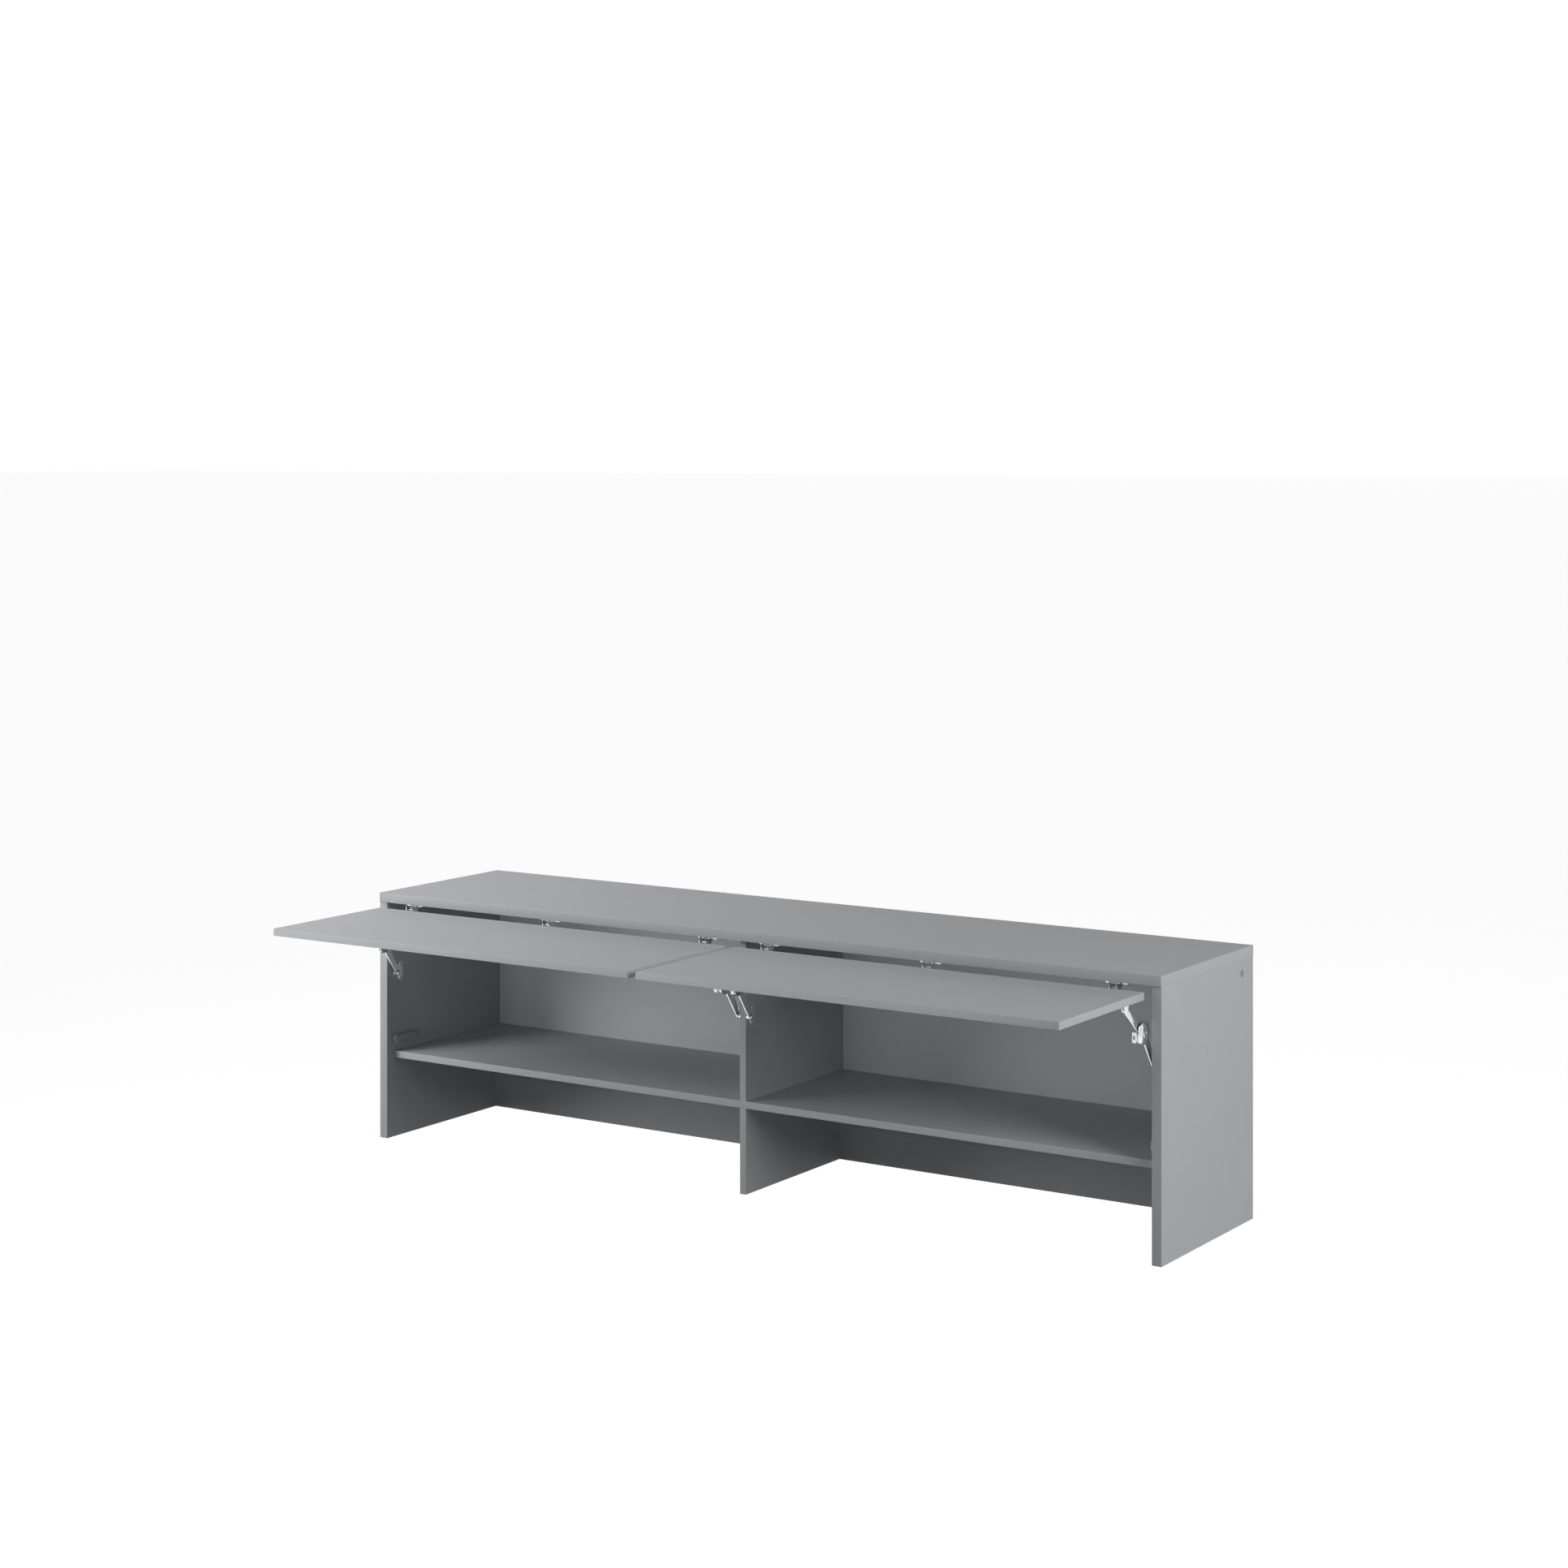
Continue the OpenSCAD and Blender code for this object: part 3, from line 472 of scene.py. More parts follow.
# %% Materials for the CAD nodes
finish = {name: board for name in boards}
finish |= {name: fibreboard for name in ("left_back_panel", "right_back_panel", "back_joint_strip")}
finish |= {name: light_plastic for name in ("left_latch_housing", "right_latch_housing")}
finish |= {name: zinc for name in ("left_latch_spring", "right_latch_spring", "left_latch_strike",
                                   "right_latch_strike", "cam_bolts")}
finish |= {"cam_locks": die_cast, "wood_dowels": beech}
for name, material in finish.items():
    nodes[name].data.materials.clear()
    nodes[name].data.materials.append(material)
print(len(finish), "CAD nodes keep their shape")

# %% [markdown]
# ## Edging on the boards
# Edging is a strip that runs along a board's edge and wraps nothing else, so it is a profile
# carried along a path. The top shows three edges, each side its bottom and front, and a door all
# four. The profile's soft corners catch the thin bright lines that a cut edge would not.

# %% Edging strips
def edge_board(name, node, body, path, along):
    axis = "xyz".index(along)
    return make_piece(name, [edging(path, low(node)[axis], high(node)[axis], along)], body,
                      edge_plastic)


strips = []
(x0, y0, z0), (x1, y1, z1) = low("top_panel"), high("top_panel")
top_under = z0
strips.append(edge_board("top_edging", "top_panel", "cabinet", edge_path(
    [(x0, y1), (x0, y0), (x1, y0), (x1, y1)], [(-1, 0), (0, -1), (1, 0)]), "z"))
for side in ("left", "right"):
    (x0, y0, z0), (x1, y1, z1) = low(f"{side}_side_panel"), high(f"{side}_side_panel")
    strips.append(edge_board(f"{side}_side_edging", f"{side}_side_panel", "cabinet", edge_path(
        [(y1, z0), (y0, z0), (y0, z1)], [(0, -1), (-1, 0)]), "x"))
(x0, y0, z0), (x1, y1, z1) = low("fixed_shelf"), high("fixed_shelf")
strips.append(edge_board("shelf_edging", "fixed_shelf", "cabinet", edge_path(
    [(x0, y0), (x1, y0)], [(0, -1)]), "z"))
(x0, y0, z0), (x1, y1, z1) = low("upper_divider"), high("upper_divider")
strips.append(edge_board("upper_divider_edging", "upper_divider", "cabinet", edge_path(
    [(y0, z0), (y0, z1)], [(-1, 0)]), "x"))
(x0, y0, z0), (x1, y1, z1) = low("lower_divider"), high("lower_divider")
strips.append(edge_board("lower_divider_edging", "lower_divider", "cabinet", edge_path(
    [(y1, z0), (y0, z0), (y0, z1)], [(0, -1), (-1, 0)]), "x"))
(x0, y0, z0), (x1, y1, z1) = low("lower_back_board"), high("lower_back_board")
strips.append(edge_board("lower_back_edging", "lower_back_board", "cabinet", edge_path(
    [(x0, z0), (x1, z0)], [(0, -1)]), "y"))
for side in ("left", "right"):
    (x0, y0, z0), (x1, y1, z1) = low(f"{side}_door_panel"), high(f"{side}_door_panel")
    strips.append(edge_board(f"{side}_door_edging", f"{side}_door_panel", f"{side}_door", edge_path(
        [(x0, y0), (x1, y0), (x1, y1), (x0, y1)], [(0, -1), (1, 0), (0, 1), (-1, 0)],
        closed=True), "z"))
print(len(strips), "edging strips")

# %% [markdown]
# ## Friction stays
# Four stays hold the open doors. Each has an oval plate on a panel, two pressed arms that meet at a
# friction knuckle, and a bracket on the door. The two arms are flat strips with soft rims, so they
# are cut from outlines. The knuckle's two domes are turned. A domed cap shows a bright half and a
# dark half, which tells the eye at once that it is polished metal.

# %% Where the stays are
FOOT = np.array([-199.0, 402.5]) * MM
KNUCKLE = np.array([-252.0, 483.0]) * MM
DOOR_PIN = np.array([-328.0, 543.0]) * MM
PLATE = np.array([-181.5, 405.0]) * MM
ARM_ENDS = np.array([7.5, 11.0]) * MM
TAB_DROP = 5 * MM
BRACKET_SIDES = (7.4, 16.4)
BRACKET_SHEET = 1.8 * MM
OVAL_THICK = 2.2
inner_face = low("right_side_panel")[0]
divider_face = high("upper_divider")[0]
stays = {"left_outer": (-inner_face, 1), "left_inner": (-divider_face, -1),
         "right_inner": (divider_face, 1), "right_outer": (inner_face, -1)}


def side_of(stay):
    """The door that a stay holds: left or right."""
    return stay.split("_")[0]


def off_face(stay, *distances):
    """Distances from a stay's panel, in millimetres, as sorted x coordinates."""
    face, way = stays[stay]
    return sorted(face + way * d * MM for d in distances)


def strip(stay, outline, near, far, rim=0.8 * MM):
    """A pressed strip beside a stay's panel, between two distances from the panel's face."""
    return pressed(outline, *off_face(stay, near, far), rim, "x")


def lathe_work(stay, profile, centre, start, **more):
    """A turned part beside a stay's panel, its axis pointing away from the panel. The profile and
    the start are in millimetres."""
    face, way = stays[stay]
    return turned(np.array(profile) * MM, (face + way * start * MM, *centre), (way, 0, 0), **more)


print({name: round(face / MM) for name, (face, way) in stays.items()})


# %% [markdown]
# ### Lower arm
# It turns on the plate's pin and carries the friction disc. On the side of the panel the disc is
# domed: a cosine curve falls from the boss to the rim.

# %% Lower arms
DISC_SIDES = 72
DOME_RINGS = 14


def dome(radius, rise, flat):
    """A dome's profile from its rim to its middle: height = rise * cos(pi/2 * share)^0.8, where the
    share runs from 1 at the rim to 0 at the flat middle."""
    share = np.linspace(1, 0, DOME_RINGS)
    height = rise * np.cos(np.pi / 2 * share) ** 0.8
    return np.stack([flat + (radius - flat) * share, height], axis=-1)


def lower_arm(stay):
    arm = strip(stay, stadium(FOOT, KNUCKLE, ARM_ENDS), 7.1, 9.9)
    disc = lathe_work(stay, [[0.3, 10], [24.2, 10], [25, 9.4], [25, 7.7], [24.2, 7], [0.3, 7]],
                      KNUCKLE, 0, sides=DISC_SIDES)
    crown = dome(23.5, 3.3, 8.5) * [1, -1]
    boss = [[8.4, -3.9], [7.8, -4.3], [4.2, -4.3], [3.8, -3.7], [0.4, -3.7]]
    cap = lathe_work(stay, np.vstack([[[0.4, 0.4], [23.5, 0.4]], crown, boss]), KNUCKLE, 7,
                     sides=DISC_SIDES)
    return [arm, disc, cap]


for stay in stays:
    make_piece(f"{stay}_lower_arm", lower_arm(stay), f"{side_of(stay)}_lower_arms",
               nickel, [f"{stay}_stay_lower_arm"])
print("lower arms from the foot", np.round(FOOT / MM), "to the knuckle", np.round(KNUCKLE / MM))

# %% [markdown]
# ### Upper arm
# It has the outer cap with its adjusting nut, a bead pressed along the strip to stiffen it, and the
# tab in front of the knuckle, whose window takes the tool that sets the friction.

# %% Upper arms
def window_tab(stay, front):
    """The tab: a plate across the arm with a rectangular window, pierced from two matching
    outlines."""
    x0, x1 = off_face(stay, 10.4, 19.4)
    h0, h1 = off_face(stay, 12.9, 16.9)
    z = KNUCKLE[1] - TAB_DROP
    outer = box_outline(x0, z - 11 * MM, x1, z + 11 * MM, 1 * MM)
    hole = box_outline(h0, z - 3.5 * MM, h1, z + 3.5 * MM, 0.5 * MM)
    return pierced(outer, hole, front, front + 2.5 * MM, 0.3 * MM, "y")


def upper_arm(stay):
    arm = strip(stay, stadium(DOOR_PIN, KNUCKLE, ARM_ENDS), 10.5, 13.3)
    along = (DOOR_PIN - KNUCKLE) / np.linalg.norm(DOOR_PIN - KNUCKLE)
    bead = strip(stay, stadium(DOOR_PIN - 15 * MM * along, KNUCKLE + 26 * MM * along, 3 * MM),
                 13.0, 14.1, 0.6 * MM)
    disc = lathe_work(stay, [[0.3, 10.4], [23.4, 10.4], [24, 11], [24, 12.7], [23.4, 13.4],
                             [0.3, 13.4]], KNUCKLE, 0, sides=DISC_SIDES)
    crown = dome(22.5, 4.0, 6.5)
    nut = [[6.4, 4.5], [6, 4.9], [3.4, 4.9], [3.0, 4.1], [0.4, 4.1]]
    cap = lathe_work(stay, np.vstack([[[0.4, -0.4], [22.5, -0.4]], crown, nut]), KNUCKLE, 13.4,
                     sides=DISC_SIDES)
    y, z = KNUCKLE - [0, TAB_DROP]
    neck = box_outline(y - 28 * MM, z - 10 * MM, y - 4 * MM, z + 10 * MM, 1.5 * MM)
    return [arm, bead, disc, cap, strip(stay, neck, 10.6, 13.2), window_tab(stay, y - 30.5 * MM)]


for stay in stays:
    make_piece(f"{stay}_upper_arm", upper_arm(stay), f"{side_of(stay)}_upper_arms",
               nickel, [f"{stay}_stay_upper_arm"])
print("upper arms reach to the door pin", np.round(DOOR_PIN / MM))

# %% [markdown]
# ### Plates and brackets
# The plate is screwed to a panel and carries the lower arm on a riveted pin. The bracket is a small
# folded steel shoe under the door, with the upper arm's pin between its two ears.

# %% Stay plates and brackets
def stay_plate(stay):
    oval = strip(stay, stadium(PLATE - [0, 14 * MM], PLATE + [0, 14 * MM], 9.5 * MM),
                 0, OVAL_THICK, 0.6 * MM)
    neck = strip(stay, stadium(FOOT, PLATE, 7 * MM), 0, 2.1, 0.6 * MM)
    rivet = [[0.3, 2], [6, 2], [6, 5.4], [5.6, 5.8], [3, 5.8], [3, 10.5], [5, 10.5], [5, 11.6],
             [4.2, 12.4], [2.4, 12.9], [0.3, 13]]
    return [oval, neck, lathe_work(stay, rivet, FOOT, 0, sides=40)]


def bracket(stay):
    x0, x1 = off_face(stay, *BRACKET_SIDES)
    y, z = DOOR_PIN
    shoe = pressed(box_outline(x0, y - 24 * MM, x1, y + 18 * MM, 2 * MM),
                   under_door - BRACKET_SHEET, under_door, 0.5 * MM, "z")
    ear = rounded([(y - 11 * MM, under_door - 0.5 * MM), (y - 6 * MM, z - 6 * MM),
                   (y + 6 * MM, z - 6 * MM), (y + 8 * MM, under_door - 0.5 * MM)], 2 * MM)
    pin = lathe_work(stay, [[0.3, 6.9], [2.6, 6.9], [3, 7.3], [3, 16.5], [2.6, 16.9], [0.3, 16.9]],
                     DOOR_PIN, 0)
    return [shoe, strip(stay, ear, 7.4, 9.4, 0.5 * MM), strip(stay, ear, 14.4, 16.4, 0.5 * MM), pin]


for stay in stays:
    make_piece(f"{stay}_plate", stay_plate(stay), "cabinet", nickel,
               [f"{stay}_stay_plate"])
    make_piece(f"{stay}_bracket", bracket(stay), f"{side_of(stay)}_door", nickel,
               [f"{stay}_stay_bracket"])
print("four stay plates and four brackets")

# %% [markdown]
# ## Concealed hinges
# Each door hangs on three cup hinges. A cast plate is screwed under the top, a pressed arm clips
# over it, and two pairs of links run from the arm's nose into a steel cup let into the door. The
# arm is drawn as what it is: two cheeks and two webs of 2 mm strip, with all corners softened.

# %% Where the hinges are
ALONG = np.array([51.0, 472.0, 923.0]) * MM
ARM_PIN = np.array([-206.0, 562.0]) * MM
CUP_PIN = np.array([-284.0, 558.0]) * MM
KNEE = np.array([-242.0, 533.0]) * MM
PLATE_Y = -177 * MM
WING_Y = -183 * MM
CUP_Y = -282 * MM
WING_THICK = 10 * MM
CUP_RIM = 1.2 * MM
hinges = {side: low(f"{side}_door_panel")[0] + ALONG for side in ("left", "right")}


def cross_pin(x, half, centre, radius=1.5 * MM):
    """A pin along x with slightly domed ends."""
    ends = np.array([[0.2, 1.0], [0.75, 0.85], [1, 0.0]])
    left = [[r * radius, -half - rise * 0.4 * MM] for r, rise in ends]
    right = [[r * radius, half + rise * 0.4 * MM] for r, rise in ends[::-1]]
    return turned(left + right, (x, *centre), (1, 0, 0), sides=24)


print({side: np.round(places / MM).tolist() for side, places in hinges.items()})


# %% [markdown]
# ### Plates and arms
# The plate is a nickel-plated casting: a block under the arm, with a thick wing on each side for
# its screws. The arm stands over it, and two screws in its lower web shift the door sideways and
# in depth.

# %% Hinge plates and arms
def hinge_plate(x):
    wings = [box_outline(x + a * MM, WING_Y - 12 * MM, x + (a + 16.5) * MM, WING_Y + 12 * MM,
                         4.5 * MM) for a in (-27, 10.5)]
    bridge = box_outline(x - 12 * MM, WING_Y - 8 * MM, x + 12 * MM, WING_Y + 8 * MM, 1 * MM)
    block = box_outline(x - 7 * MM, PLATE_Y - 10 * MM, x + 7 * MM, PLATE_Y + 34 * MM, 1.5 * MM)
    return [pressed(wing, top_under - WING_THICK, top_under, 0.9 * MM, "z") for wing in wings] + [
        pressed(bridge, top_under - 3 * MM, top_under, 0.5 * MM, "z"),
        pressed(block, top_under - 9 * MM, top_under, 0.8 * MM, "z")]


def hinge_arm(x):
    nose, step, tail = -212.2 * MM, -189 * MM, -135 * MM
    deep, mid, high_edge = top_under - 24.5 * MM, top_under - 12.5 * MM, top_under - 4.5 * MM
    cheek = rounded([(nose, deep + 4 * MM), (nose + 4 * MM, deep), (nose + 19 * MM, deep),
                     (step + 5 * MM, mid), (tail - 3 * MM, mid), (tail, mid + 3 * MM),
                     (tail, high_edge), (nose + 3 * MM, high_edge), (nose, high_edge - 3 * MM)],
                    1.4 * MM)
    cheeks = [pressed(cheek, x + a * MM, x + (a + 2) * MM, 0.5 * MM, "x") for a in (-9.5, 7.5)]
    lower = box_outline(x - 9.3 * MM, step + 6 * MM, x + 9.3 * MM, tail - 3 * MM, 1.5 * MM)
    upper = box_outline(x - 9.3 * MM, nose + 3 * MM, x + 9.3 * MM, step - 2 * MM, 1.5 * MM)
    webs = [pressed(lower, mid, mid + 2.2 * MM, 0.5 * MM, "z"),
            pressed(upper, high_edge - 2 * MM, high_edge, 0.5 * MM, "z")]
    setting = [screw((x, PLATE_Y + y * MM, mid), (0, 0, -1), (3.1 * MM, 1 * MM), (2.4 * MM, 3 * MM))
               for y in (4, 26)]
    return cheeks + webs + setting + [cross_pin(x, 9.9 * MM, ARM_PIN)]


for side, places in hinges.items():
    make_piece(f"{side}_plates", [shell for x in places for shell in hinge_plate(x)], "cabinet",
               nickel, [f"{side}_hinge_plates"])
    make_piece(f"{side}_arms", [shell for x in places for shell in hinge_arm(x)], "cabinet",
               nickel, [f"{side}_hinge_arms"])
print("hinge arms under z =", round(top_under / MM), "mm")

# %% [markdown]
# ### Links and cups
# The rear links swing on the arm's pin, the front links on the cup's pin, and they meet at the
# knee. The cup is deep-drawn from sheet: one profile turned about an upright axis, out over the rim
# and down the other side, so that its wall is about 1 mm thick. Two ears carry the cup's screws.

# %% Hinge links and cups
def link_pair(x, p, q, radius, inner, outer):
    """Two equal links on both sides of a hinge's middle."""
    outline = stadium(p, q, radius)
    return [pressed(outline, x + a * MM, x + b * MM, 0.4 * MM, "x")
            for a, b in ((-outer, -inner), (inner, outer))]


def cup(x):
    bowl = np.array([[0.3, 11.7], [14.8, 11.7], [15.9, 11.3], [16.4, 10.2], [16.4, 0.5],
                     [16.8, 0.1], [17.2, 0], [19, 0], [19.4, 0.3], [19.5, 0.9], [19.4, 1.2],
                     [17.4, 1.2], [17.4, 11.6], [16.6, 12.6], [15, 12.9], [0.3, 12.9]]) * MM
    shells = [turned(bowl, (x, CUP_Y, under_door - CUP_RIM), (0, 0, 1), sides=56)]
    for way in (-1, 1):
        a, b = sorted([x + way * 16.8 * MM, x + way * 31 * MM])
        ear = box_outline(a, CUP_Y - 17 * MM, b, CUP_Y + 3 * MM, 4 * MM)
        shells.append(pressed(ear, under_door - CUP_RIM, under_door, 0.4 * MM, "z"))
    return shells + [cross_pin(x, 16.5 * MM, CUP_PIN)]


for side, places in hinges.items():
    rear = [s for x in places for s in link_pair(x, ARM_PIN, KNEE, 3.5 * MM, 5.2, 7.2)
            + [cross_pin(x, 7.0 * MM, KNEE)]]
    front = [s for x in places for s in link_pair(x, KNEE, CUP_PIN, 3 * MM, 2.6, 4.8)
             + [cross_pin(x, 4.2 * MM, (KNEE + CUP_PIN) / 2, 2 * MM)]]
    make_piece(f"{side}_rear_link_strips", rear, f"{side}_rear_links", zinc,
               [f"{side}_hinge_rear_links"])
    make_piece(f"{side}_front_link_strips", front, f"{side}_front_links", zinc,
               [f"{side}_hinge_front_links"])
    make_piece(f"{side}_cups", [s for x in places for s in cup(x)], f"{side}_door",
               nickel, [f"{side}_hinge_cups"])
print("knees at y, z =", np.round(KNEE / MM), "mm")

# %% [markdown]
# ## Screws
# A cross-recess screw gives a fitting its scale, so every one that shows gets its real head. The
# recess isn't cut: the head's own points sink where they lie near one of two crossed lines.

# %% Screw heads
DOWN = (0, 0, -1)


def put_screws(name, node, body, spots, head, shank):
    """One piece with a screw at every spot, a spot being a start and an axis, and head and shank
    in millimetres. Returns how many there are."""
    shells = [screw(start, axis, np.array(head) * MM, np.array(shank) * MM)
              for start, axis in spots]
    make_piece(name, shells, body, zinc, [node], sharp=28)
    return len(spots)


spots = [((x + a * MM, WING_Y, top_under - WING_THICK), DOWN)
         for places in hinges.values() for x in places for a in (-17, 17)]
count = put_screws("hinge_plate_screw_set", "hinge_plate_screws", "cabinet", spots,
                   (3.8, 2.2), (1.9, 21))
for side, places in hinges.items():
    spots = [((x + a * MM, CUP_Y - 7 * MM, under_door - CUP_RIM), DOWN)
             for x in places for a in (-24, 24)]
    count += put_screws(f"{side}_cup_screw_set", f"{side}_cup_screws", f"{side}_door", spots,
                        (3.8, 2.0), (1.9, 9))
    spots = [((np.mean(off_face(stay, *BRACKET_SIDES)), DOOR_PIN[0] + y * MM,
               under_door - BRACKET_SHEET), DOWN)
             for stay in stays if side_of(stay) == side for y in (-18, 12)]
    count += put_screws(f"{side}_bracket_screw_set", f"{side}_bracket_screws", f"{side}_door",
                        spots, (3.4, 1.8), (1.9, 8))
spots = [((face + way * OVAL_THICK * MM, PLATE[0], PLATE[1] + z * MM), (way, 0, 0))
         for face, way in stays.values() for z in (-16, 16)]
count += put_screws("stay_plate_screw_set", "stay_plate_screws", "cabinet", spots,
                    (3.6, 1.6), (1.6, 7.5))
latch_face = high("right_latch_housing")[0] - 13 * MM
latch_z = (low("right_latch_housing")[2] + high("right_latch_housing")[2]) / 2
latch_front = low("right_latch_housing")[1]
spots = [((way * (latch_face + 2 * MM), latch_front + y * MM, latch_z), (-way, 0, 0))
         for way in (-1, 1) for y in (68, 80)]
count += put_screws("latch_screw_set", "latch_screws", "cabinet", spots, (3.2, 1.8), (1.6, 18))
print(count, "screws")

# %% [markdown]
# ## Push latches, caps and hangers
# A push latch holds each closed door without a handle. Its plunger is a turned rod with a soft
# collar and a magnet in its tip. A flat cap closes the hanger's hole in each side, and behind it a
# hanger hooks over the wall rail.

# %% Latch plungers
for side, way in (("left", -1), ("right", 1)):
    x = way * (inner_face - 7 * MM)
    tip = low(f"{side}_latch_plunger")[1]
    rod = np.array([[0.3, 0.7], [2.3, 0.7], [2.4, 0.1], [2.7, 0.15], [3.3, 0.35], [3.7, 0.7],
                    [3.9, 1.2], [3.9, 39.4], [3.5, 39.8], [0.3, 39.8]]) * MM
    magnet = np.array([[0.3, 0.25], [2.1, 0.25], [2.3, 0.5], [2.3, 3], [0.3, 3]]) * MM
    make_piece(f"{side}_plunger_rod", [turned(rod, (x, tip, latch_z), (0, 1, 0), sides=40)],
               f"{side}_plunger", light_plastic, [f"{side}_latch_plunger"])
    make_piece(f"{side}_plunger_magnet", [turned(magnet, (x, tip, latch_z), (0, 1, 0), sides=32)],
               f"{side}_plunger", zinc)
print("plunger tips at y =", round(float(tip) / MM, 1), "mm")

# %% Cover caps, hangers and nails
HANGER_Y, HANGER_Z = 170 * MM, 546 * MM
cap_profile = np.array([[0.3, 0], [6.6, 0], [7.4, -0.12], [7.9, -0.5], [8, -1], [8, -1.4],
                        [3.9, -1.4], [3.9, -7.4], [3.4, -7.6], [0.3, -7.6]]) * MM
cap_face = half_width - 0.4 * MM
caps = [turned(cap_profile, (way * cap_face, HANGER_Y, HANGER_Z), (way, 0, 0), sides=48)
        for way in (-1, 1)]
make_piece("hanger_caps", caps, "cabinet", mid_plastic, ["cover_caps"])

back_front = low("left_back_panel")[1]
for side, way in (("left", -1), ("right", 1)):
    x0, x1 = sorted([way * (inner_face - 16 * MM), way * inner_face])
    case = pressed(box_outline(x0, HANGER_Z - 30 * MM, x1, HANGER_Z + 28 * MM, 2 * MM),
                   back_front - 60 * MM, back_front - 0.5 * MM, 1 * MM, "y")
    hook = rounded(np.array([[-57, -10], [15, -10], [15, 15], [11, 15], [11, 1], [-6, 1],
                             [-14, 12], [-57, 12]]) * MM + [back_front, HANGER_Z], 1.5 * MM)
    h0, h1 = sorted([way * (inner_face - 11 * MM), way * (inner_face - 7 * MM)])
    setting = [screw((way * (inner_face - 16 * MM), back_front - 40 * MM, HANGER_Z + z * MM),
                     (-way, 0, 0), np.array([3.4, 1]) * MM, np.array([2.5, 4]) * MM)
               for z in (-12, 8)]
    make_piece(f"{side}_hanger_case", [case], "cabinet", mid_plastic,
               [f"{side}_wall_hanger"])
    make_piece(f"{side}_hanger_hook", [pressed(hook, h0, h1, 0.6 * MM, "x")] + setting, "cabinet",
               zinc)

nail_profile = np.array([[0.2, 0.9], [1.6, 0.75], [2.4, 0.4], [2.5, 0], [0.8, 0], [0.8, -12],
                         [0.2, -13]]) * MM
nail_z = (low("fixed_shelf")[2] + high("fixed_shelf")[2]) / 2
nails = [turned(nail_profile, (x, back_front + 3 * MM, nail_z), (0, 1, 0), sides=20)
         for x in np.linspace(-945, 945, 10) * MM]
make_piece("back_nails", nails, "cabinet", zinc, ["back_panel_nails"])
print("two caps, two hangers and", len(nails), "nails")

# %% [markdown]
# ## Floor, light and camera
# The cabinet hangs with its underside 1.15 m above a plain pale floor, as it would over a bed. The
# light is that of a white studio. A bright band of wall stands behind the cabinet, and the rest of
# the room is dim, so the shading comes from soft lamps: a main one to the left, a low one beside it
# that reaches under the doors, one above, and one to the right for the side panel. A narrow strip
# in front, hidden from the camera, lifts the inside between the doors and the shelf. The floor
# glows a little like a light table, and is kept out of the diffuse bounces, so it stays plain
# without lighting the cabinet's shaded underside. The camera stands to the right, level, and a
# shifted lens takes in what lies below its horizon, which keeps upright edges upright.

# %% Floor
HANGING_HEIGHT = 1.15
FLOOR_REACH = 300
floor_z = cad_box[0].z - HANGING_HEIGHT
grid = bpy.data.meshes.new("floor")
grid.from_pydata([(a * FLOOR_REACH, b * FLOOR_REACH, floor_z)
                  for a, b in ((-1, -1), (1, -1), (1, 1), (-1, 1))], [], [(0, 1, 2, 3)])
floor = bpy.data.objects.new("floor", grid)
bpy.context.scene.collection.objects.link(floor)
paint, tree, shader, where = new_material("pale_floor_paint", roughness=0.9)
cloud = add_node(tree, "ShaderNodeTexNoise", values={"Scale": 1.5}, links={"Vector": where})
tone = add_node(tree, "ShaderNodeMix", data_type="RGBA", links={0: cloud.outputs["Fac"]},
                values={6: linear("#F6F6F6"), 7: linear("#FAFAFA")})
tree.links.new(tone.outputs[2], shader.inputs["Base Color"])
shader.inputs["Emission Color"].default_value = (1, 1, 1, 1)
shader.inputs["Emission Strength"].default_value = 0.85
grid.materials.append(paint)
floor.visible_diffuse = False
print(f"floor at z = {floor_z:.2f} m")

# %% Studio light
world = bpy.data.worlds.new("white_studio")
bpy.context.scene.world = world
world.use_nodes = True
tree = world.node_tree
tree.nodes.clear()
axes = add_node(tree, "ShaderNodeSeparateXYZ",
                links={"Vector": add_node(tree, "ShaderNodeTexCoord").outputs["Generated"]})
total = None
for axis, weight in (("X", 0.14), ("Z", 0.08)):
    ahead = add_node(tree, "ShaderNodeMath", operation="MAXIMUM", values={1: 0.0},
                     links={0: axes.outputs[axis]})
    lobe = add_node(tree, "ShaderNodeMath", operation="POWER", values={1: 2.0},
                    links={0: ahead.outputs[0]})
    total = add_node(tree, "ShaderNodeMath", operation="MULTIPLY_ADD", values={1: weight, 2: 0.0},
                     links={0: lobe.outputs[0]} | ({2: total.outputs[0]} if total else {}))
behind = add_node(tree, "ShaderNodeMapRange", links={"Value": axes.outputs["Y"]},
                  values={"From Min": 0.3, "From Max": 0.6, "To Min": 0.0, "To Max": 1.05})
below_ceiling = add_node(tree, "ShaderNodeMapRange", links={"Value": axes.outputs["Z"]},
                         values={"From Min": 0.2, "From Max": 0.45, "To Min": 1.0, "To Max": 0.0})
above_floor = add_node(tree, "ShaderNodeMapRange", links={"Value": axes.outputs["Z"]},
                       values={"From Min": -0.15, "From Max": -0.05, "To Min": 0.0, "To Max": 1.0})
wall = add_node(tree, "ShaderNodeMath", operation="MULTIPLY",
                links={0: behind.outputs["Result"], 1: below_ceiling.outputs["Result"]})
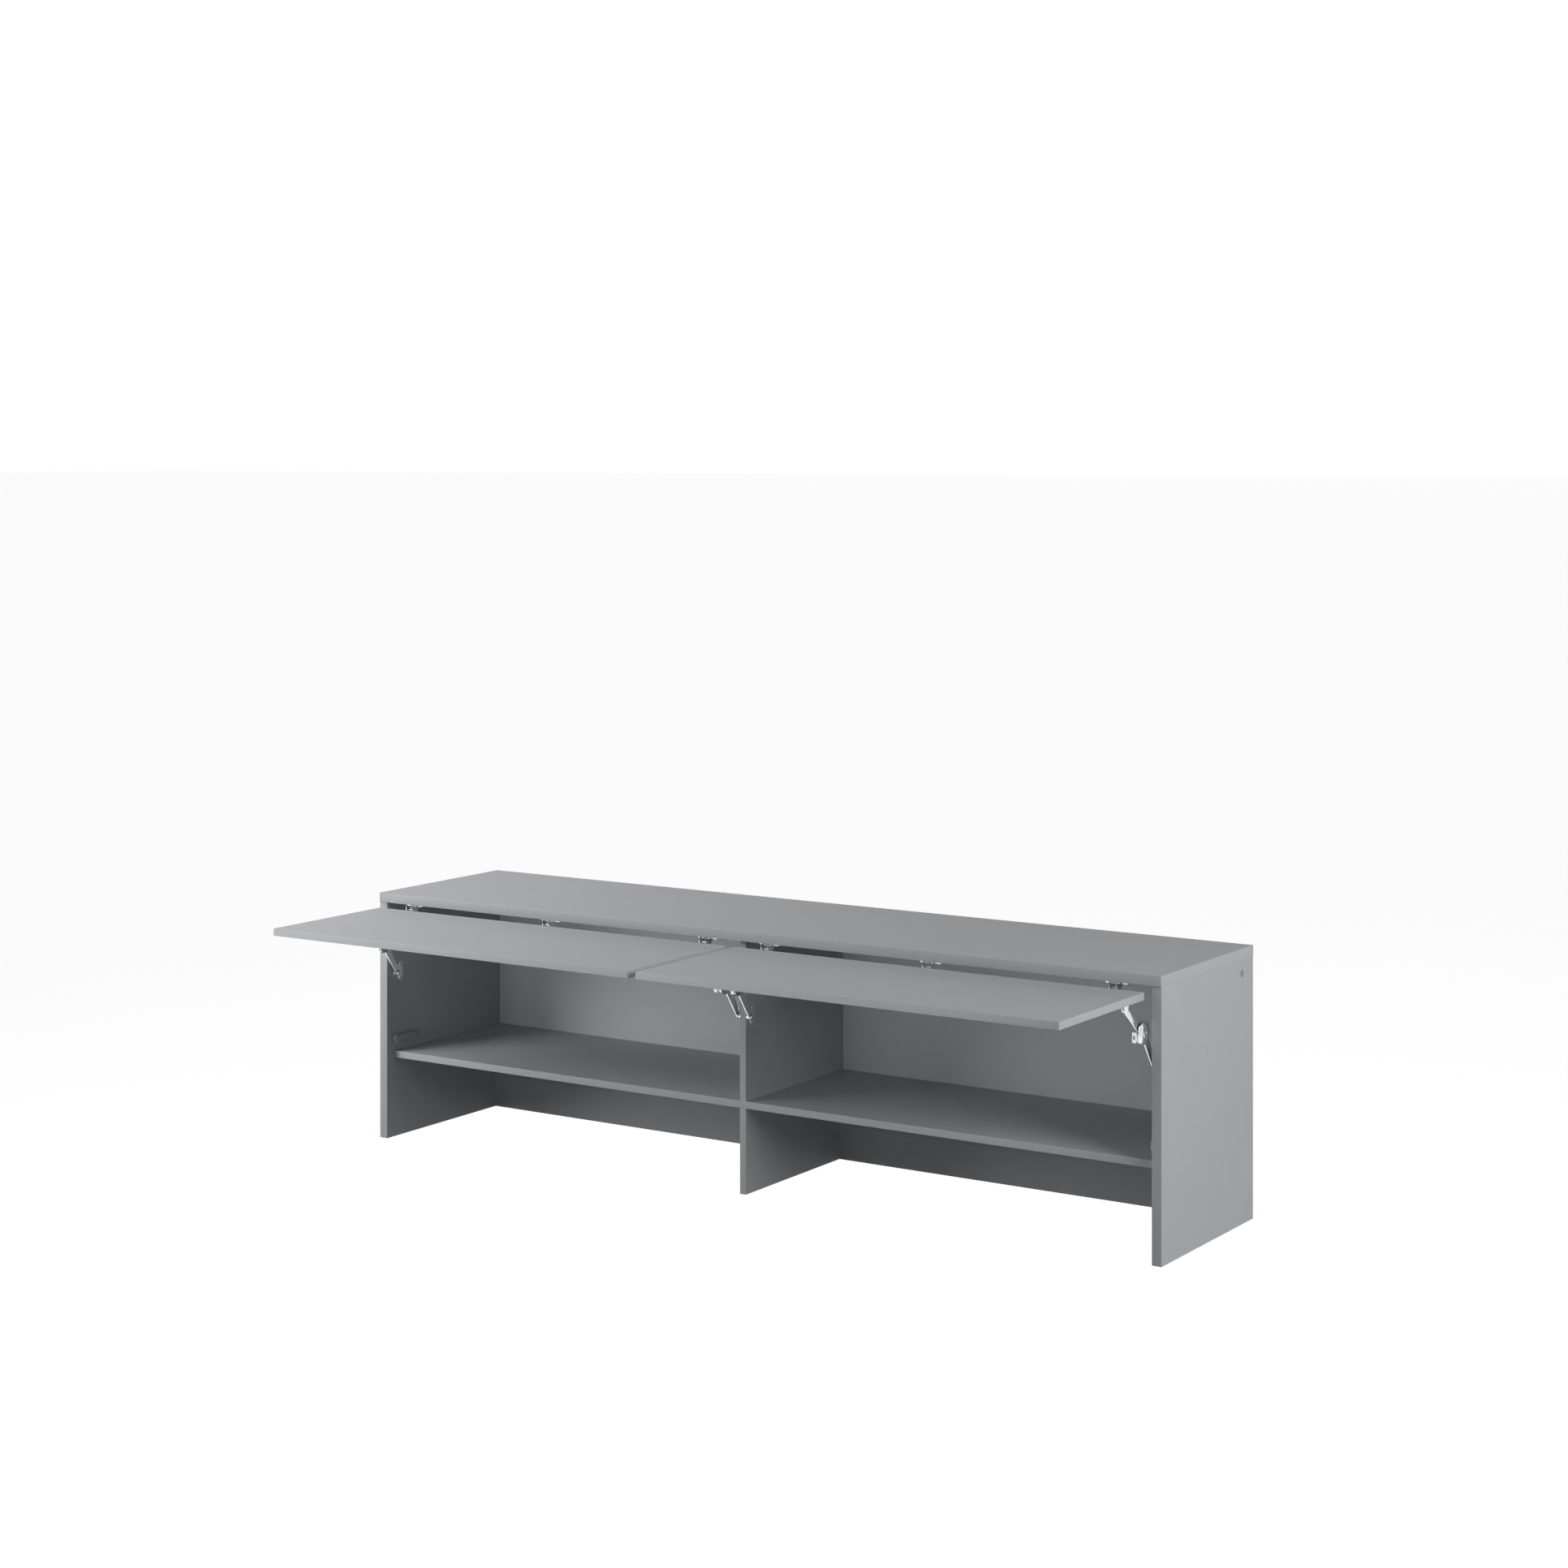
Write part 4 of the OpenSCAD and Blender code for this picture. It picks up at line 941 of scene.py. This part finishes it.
total = add_node(tree, "ShaderNodeMath", operation="MULTIPLY_ADD",
                 links={0: wall.outputs[0], 1: above_floor.outputs["Result"], 2: total.outputs[0]})
room = add_node(tree, "ShaderNodeBackground", values={"Color": (1, 1, 1, 1)},
                links={"Strength": total.outputs[0]})
add_node(tree, "ShaderNodeOutputWorld", links={"Surface": room.outputs["Background"]})


def soft_lamp(name, position, target, width, height, power):
    """A rectangular area lamp of the given size that faces the target."""
    lamp = bpy.data.objects.new(name, bpy.data.lights.new(name, "AREA"))
    lamp.data.shape = "RECTANGLE"
    lamp.data.size, lamp.data.size_y, lamp.data.energy = width, height, power
    lamp.location = position
    lamp.rotation_euler = (Vector(target) - Vector(position)).to_track_quat("-Z", "Y").to_euler()
    bpy.context.scene.collection.objects.link(lamp)
    return lamp


lamps = [soft_lamp("main_lamp", (-2.6, -2.8, 1.8), (-0.4, -0.3, 0.4), 1.5, 1.5, 60),
         soft_lamp("low_lamp", (-3.7, -3.3, 0.1), (-0.4, -0.3, 0.3), 1.5, 1.5, 24),
         soft_lamp("strip_lamp", (-0.1, -1.3, 0.48), (-0.1, 0.2, 0.40), 2.2, 0.1, 0.5),
         soft_lamp("top_lamp", (-2.2, -0.6, 2.6), (-0.8, 0.0, 0.6), 1.5, 1.5, 36),
         soft_lamp("right_lamp", (4.0, -1.0, 1.9), (1.0, 0.0, 0.2), 2.0, 2.0, 84)]
strip_lamp = bpy.data.objects["strip_lamp"]
strip_lamp.data.spread = np.radians(50)
strip_lamp.visible_camera = False
print(len(lamps), "lamps")

# %% Camera
camera = bpy.data.objects.new("camera", bpy.data.cameras.new("camera"))
camera.location = (3.704, -5.736, 1.684)
camera.rotation_euler = np.radians([90, 0, 33.014])
camera.data.sensor_width = 36
camera.data.lens = 67.46
camera.data.shift_y = -0.2125
bpy.context.scene.collection.objects.link(camera)
bpy.context.scene.camera = camera
bpy.context.scene.view_settings.view_transform = "Standard"
print("camera", [round(c, 2) for c in camera.location], "lens", round(camera.data.lens, 2), "mm")
